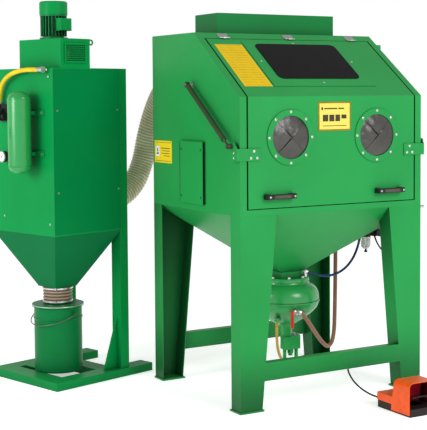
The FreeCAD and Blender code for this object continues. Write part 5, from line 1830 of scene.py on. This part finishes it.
@dataclass(frozen=True)
class IntakeCover(Assembly):
    """Painted shadow at the intake cover's edges, as dark strips, and the cover's four screws."""

    y: tuple[float, float] = (-105.0, 117.0)
    z: tuple[float, float] = (906.0, 1195.0)
    stand: float = 14.25
    head: float = 8.0

    def build(self, palette: Palette) -> None:
        """Painted shadow strips, then screws.

        Args:
            palette: Every finish by its coat.
        """
        side = -CAB.half_width
        (y0, y1), (z0, z1) = self.y, self.z
        bm = bmesh.new()
        # Painted shadow: a dark strip on the cover's face at its back edge, one on the wall at its front
        # edge, and a dark sheet in the gap at its back edge.
        slab(bm, cab, (side - self.stand, y1 - 8.0, z0 + 4), (side - 13.9, y1 - 2.5, z1 - 4))
        slab(bm, cab, (side - 0.5, y0 - 3.0, z0 + 4), (side - 0.05, y0 + 1.0, z1 - 4))
        slab(bm, cab, (side - 11.0, y1 - 2.0, z0 + 5), (side - 0.5, y1 - 1.2, z1 - 5))
        gap = mesh_piece("intake_gap", bm, palette[Coat.SEAL], None)
        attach(gap, Body.FRAME.value)
        places = [(cab(side - 14.3, y, z), Vector((-1.0, 0.0, 0.0))) for y in (y0 + 18, y1 - 18)
                  for z in (z0 + 32, z1 - 38)]
        ring_of_heads("intake_screws", places, self.head, palette[Coat.GREEN_LOW], Body.FRAME, dome=True)


# ---- studio ----------------------------------------------------------------------------


@dataclass(frozen=True)
class Studio:
    """The camera, the pale floor, the bright surroundings and two soft lights."""

    place: tuple[float, float, float] = (-3174.7, -4811.3, 1409.7)
    turn: float = -0.5252
    dip: float = 0.0611
    roll: float = -0.0067
    focal_widths: float = 1185.27 / 427.0      # focal length over picture width
    centre_shift: tuple[float, float] = (-2.47 / 427.0, -47.68 / 427.0)
    sensor: float = 36.0
    far: float = 100.0
    floor_reach: float = 40.0
    floor_glow: float = 0.5

    def build(self) -> None:
        """Set the surroundings, the floor, the lights and the camera."""
        self.surroundings()
        self.floor()
        middle = Vector((0.0, 0.0, 0.9))
        self.lamp("key", Vector((1.2, -5.2, 3.4)), middle, 2.2, 150.0)
        self.lamp("side", Vector((-3.0, 0.1, 1.7)), Vector((-0.9, 0.5, 1.1)), 1.0, 34.0)
        view = bpy.context.scene.view_settings
        view.view_transform = "Standard"
        view.exposure = 0.0
        self.camera()

    @staticmethod
    def surroundings() -> None:
        """White all round near the floor, greyer overhead, so that colours keep their depth."""
        world = bpy.data.worlds.new("studio")
        world.use_nodes = True
        sky = Shader(world.node_tree)
        aim = sky.add("ShaderNodeSeparateXYZ", {0: sky.add("ShaderNodeTexCoord").outputs["Generated"]})
        tone = sky.ramp(aim.outputs[2], [(0.0, (1.0, 1.0, 1.0)), (0.16, (1.0, 1.0, 1.0)), (0.55, (0.46, 0.46,
            0.46))])
        backdrop = world.node_tree.nodes["Background"]
        sky.put(backdrop, "Color", tone)
        backdrop.inputs["Strength"].default_value = 1.0
        bpy.context.scene.world = world

    def floor(self) -> None:
        """A wide pale floor with a little light of its own."""
        bm = bmesh.new()
        reach = self.floor_reach
        corners = ((-reach, -reach), (reach, -reach), (reach, reach), (-reach, reach))
        bm.faces.new([bm.verts.new((x, y, 0.0)) for x, y in corners])
        made, s = material("pale_floor")
        skin = s.add("ShaderNodeBsdfPrincipled", {"Base Color": rgb(0.93, 0.93, 0.93), "Roughness": 0.9,
                                                  "Emission Color": rgb(1.0, 1.0, 1.0),
                                                  "Emission Strength": self.floor_glow})
        finish_with(s, skin.outputs[0])
        mesh_piece("floor", bm, made, None)

    @staticmethod
    def lamp(name: str, place: Vector, aim: Vector, size: float, power: float) -> None:
        """A square soft light pointing at a place.

        Args:
            name: Name of the light.
            place: Where it hangs.
            aim: The place it points at.
            size: Side of the square, in metres.
            power: Its strength in watts.
        """
        data = bpy.data.lights.new(name, "AREA")
        data.size = size
        data.energy = power
        lamp = link(bpy.data.objects.new(name, data))
        lamp.location = place
        lamp.rotation_euler = (aim - place).to_track_quat("-Z", "Y").to_euler()

    def camera(self) -> None:
        """The long-lens view from the front left."""
        forward = Vector((-math.sin(self.turn) * math.cos(self.dip), math.cos(self.turn) * math.cos(self.dip),
                          -math.sin(self.dip)))
        right = Vector((math.cos(self.turn), math.sin(self.turn), 0.0))
        up = right.cross(forward)
        level = right * math.cos(self.roll) + up * math.sin(self.roll)
        upright = up * math.cos(self.roll) - right * math.sin(self.roll)
        data = bpy.data.cameras.new("camera")
        data.sensor_fit = "HORIZONTAL"
        data.sensor_width = self.sensor
        data.lens = self.sensor * self.focal_widths
        data.shift_x, data.shift_y = self.centre_shift
        data.clip_end = self.far
        camera = link(bpy.data.objects.new("camera", data))
        turn = Matrix((level, upright, -forward)).transposed().to_4x4()
        camera.matrix_world = Matrix.Translation(cab(*self.place)) @ turn
        bpy.context.scene.camera = camera


# ---- finishes on the CAD pieces --------------------------------------------------------

COLLECTOR_EDGE = -0.25             # everything left of this belongs to the dust collector

NODES_BY_COAT: dict[Coat, tuple[str, ...]] = {
    Coat.GREEN: ("cabinet_shell", "hopper", "foot_plates", "sheet_covers", "blast_pot", "grit_valve",
                 "duct_spigots", "front_door", "door_trim", "side_door"),
    Coat.GREEN_ROOF: ("light_box",),
    Coat.DIFFUSER: ("light_glass",),
    Coat.GREEN_STAND: ("stand_legs",),
    Coat.GRATE: ("floor_grate",),
    Coat.IRON: ("blast_nozzle",),
    Coat.WARNING: ("warning_plate",),
    Coat.STEEL: ("hinge_leaves", "frame_bolts", "hose_fittings", "door_hardware", "fan_impeller"),
    Coat.BLACK: ("frl_head", "pulse_valve", "door_handles", "side_latch", "frl_knob"),
    Coat.BOWL: ("frl_bowl",),
    Coat.GREEN_SIDE: ("unit_brackets", "dc_casing", "dc_frame", "fan_housing", "fan_covers"),
    Coat.PEDAL_DARK: ("pedal_base", "pedal_treadle"),
    Coat.ORANGE: ("pedal_guard",),
    Coat.GREEN_LOW: ("dc_hopper",),
    Coat.MEDIA: ("filter_cartridge",),
    Coat.GREEN_MOTOR: ("fan_motor",),
    Coat.GREEN_GLOSS: ("air_tank",),
    Coat.GREEN_BUCKET: ("bucket",),
    Coat.RUBBER: ("door_rubbers",),
    Coat.WINDOW: ("window_glass",),
    Coat.PLATE: ("door_plates",),
    Coat.GLOVE: ("gloves",),
    Coat.STRUT: ("strut_cylinder_left", "strut_cylinder_right"),
    Coat.JOINT: ("strut_rod_left", "strut_rod_right"),
    Coat.RED: ("popup_valve", "ball_lever"),
    Coat.WIRE: ("bucket_bail",),
    Coat.SLEEVE: ("sleeve",),
}


@dataclass(frozen=True)
class NodeDresser:
    """Gives every CAD piece its finish."""

    coats: dict[Coat, tuple[str, ...]] = field(default_factory=lambda: dict(NODES_BY_COAT))
    split_node: str = "sheet_covers"
    split_x: float = COLLECTOR_EDGE

    def dress(self, nodes: dict[str, bpy.types.Object], palette: Palette) -> None:
        """Fill each node's slots; the collector's panel takes a darker copy of the green as painted shade.

        Args:
            nodes: The CAD pieces by name.
            palette: Every finish by its coat.
        """
        for coat, names in self.coats.items():
            for name in names:
                slots = nodes[name].data.materials
                slots.clear()
                slots.append(palette[coat])
        # Painted shade: polygons left of split_x get the darker green.
        split = nodes[self.split_node].data
        split.materials.append(palette[Coat.GREEN_PANEL])
        for polygon in split.polygons:
            polygon.material_index = int(polygon.center.x < self.split_x)


def main() -> None:
    """Build the whole scene."""
    logging.basicConfig(level=logging.INFO, format="%(message)s")
    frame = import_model()
    low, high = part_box("foot_plates")
    ORIGIN[:] = ((low.x + high.x) / 2, (low.y + high.y) / 2, 0.0)
    palette = Palette.mixed()
    Studio().build()
    NodeDresser().dress(frame["nodes"], palette)
    for assembly in (HoseSet(), PlateSet(), ArmPorts(), DoorScrews(), BlastPot(), Collector(), PedalLiner(),
                     StandWelds(), HandleGrips(), IntakeCover()):
        known = set(bpy.data.objects.keys())
        assembly.build(palette)
        for name in sorted(set(bpy.data.objects.keys()) - known):
            LOG.info("%s: %s", type(assembly).__name__, name)


if __name__ == "__main__":
    main()
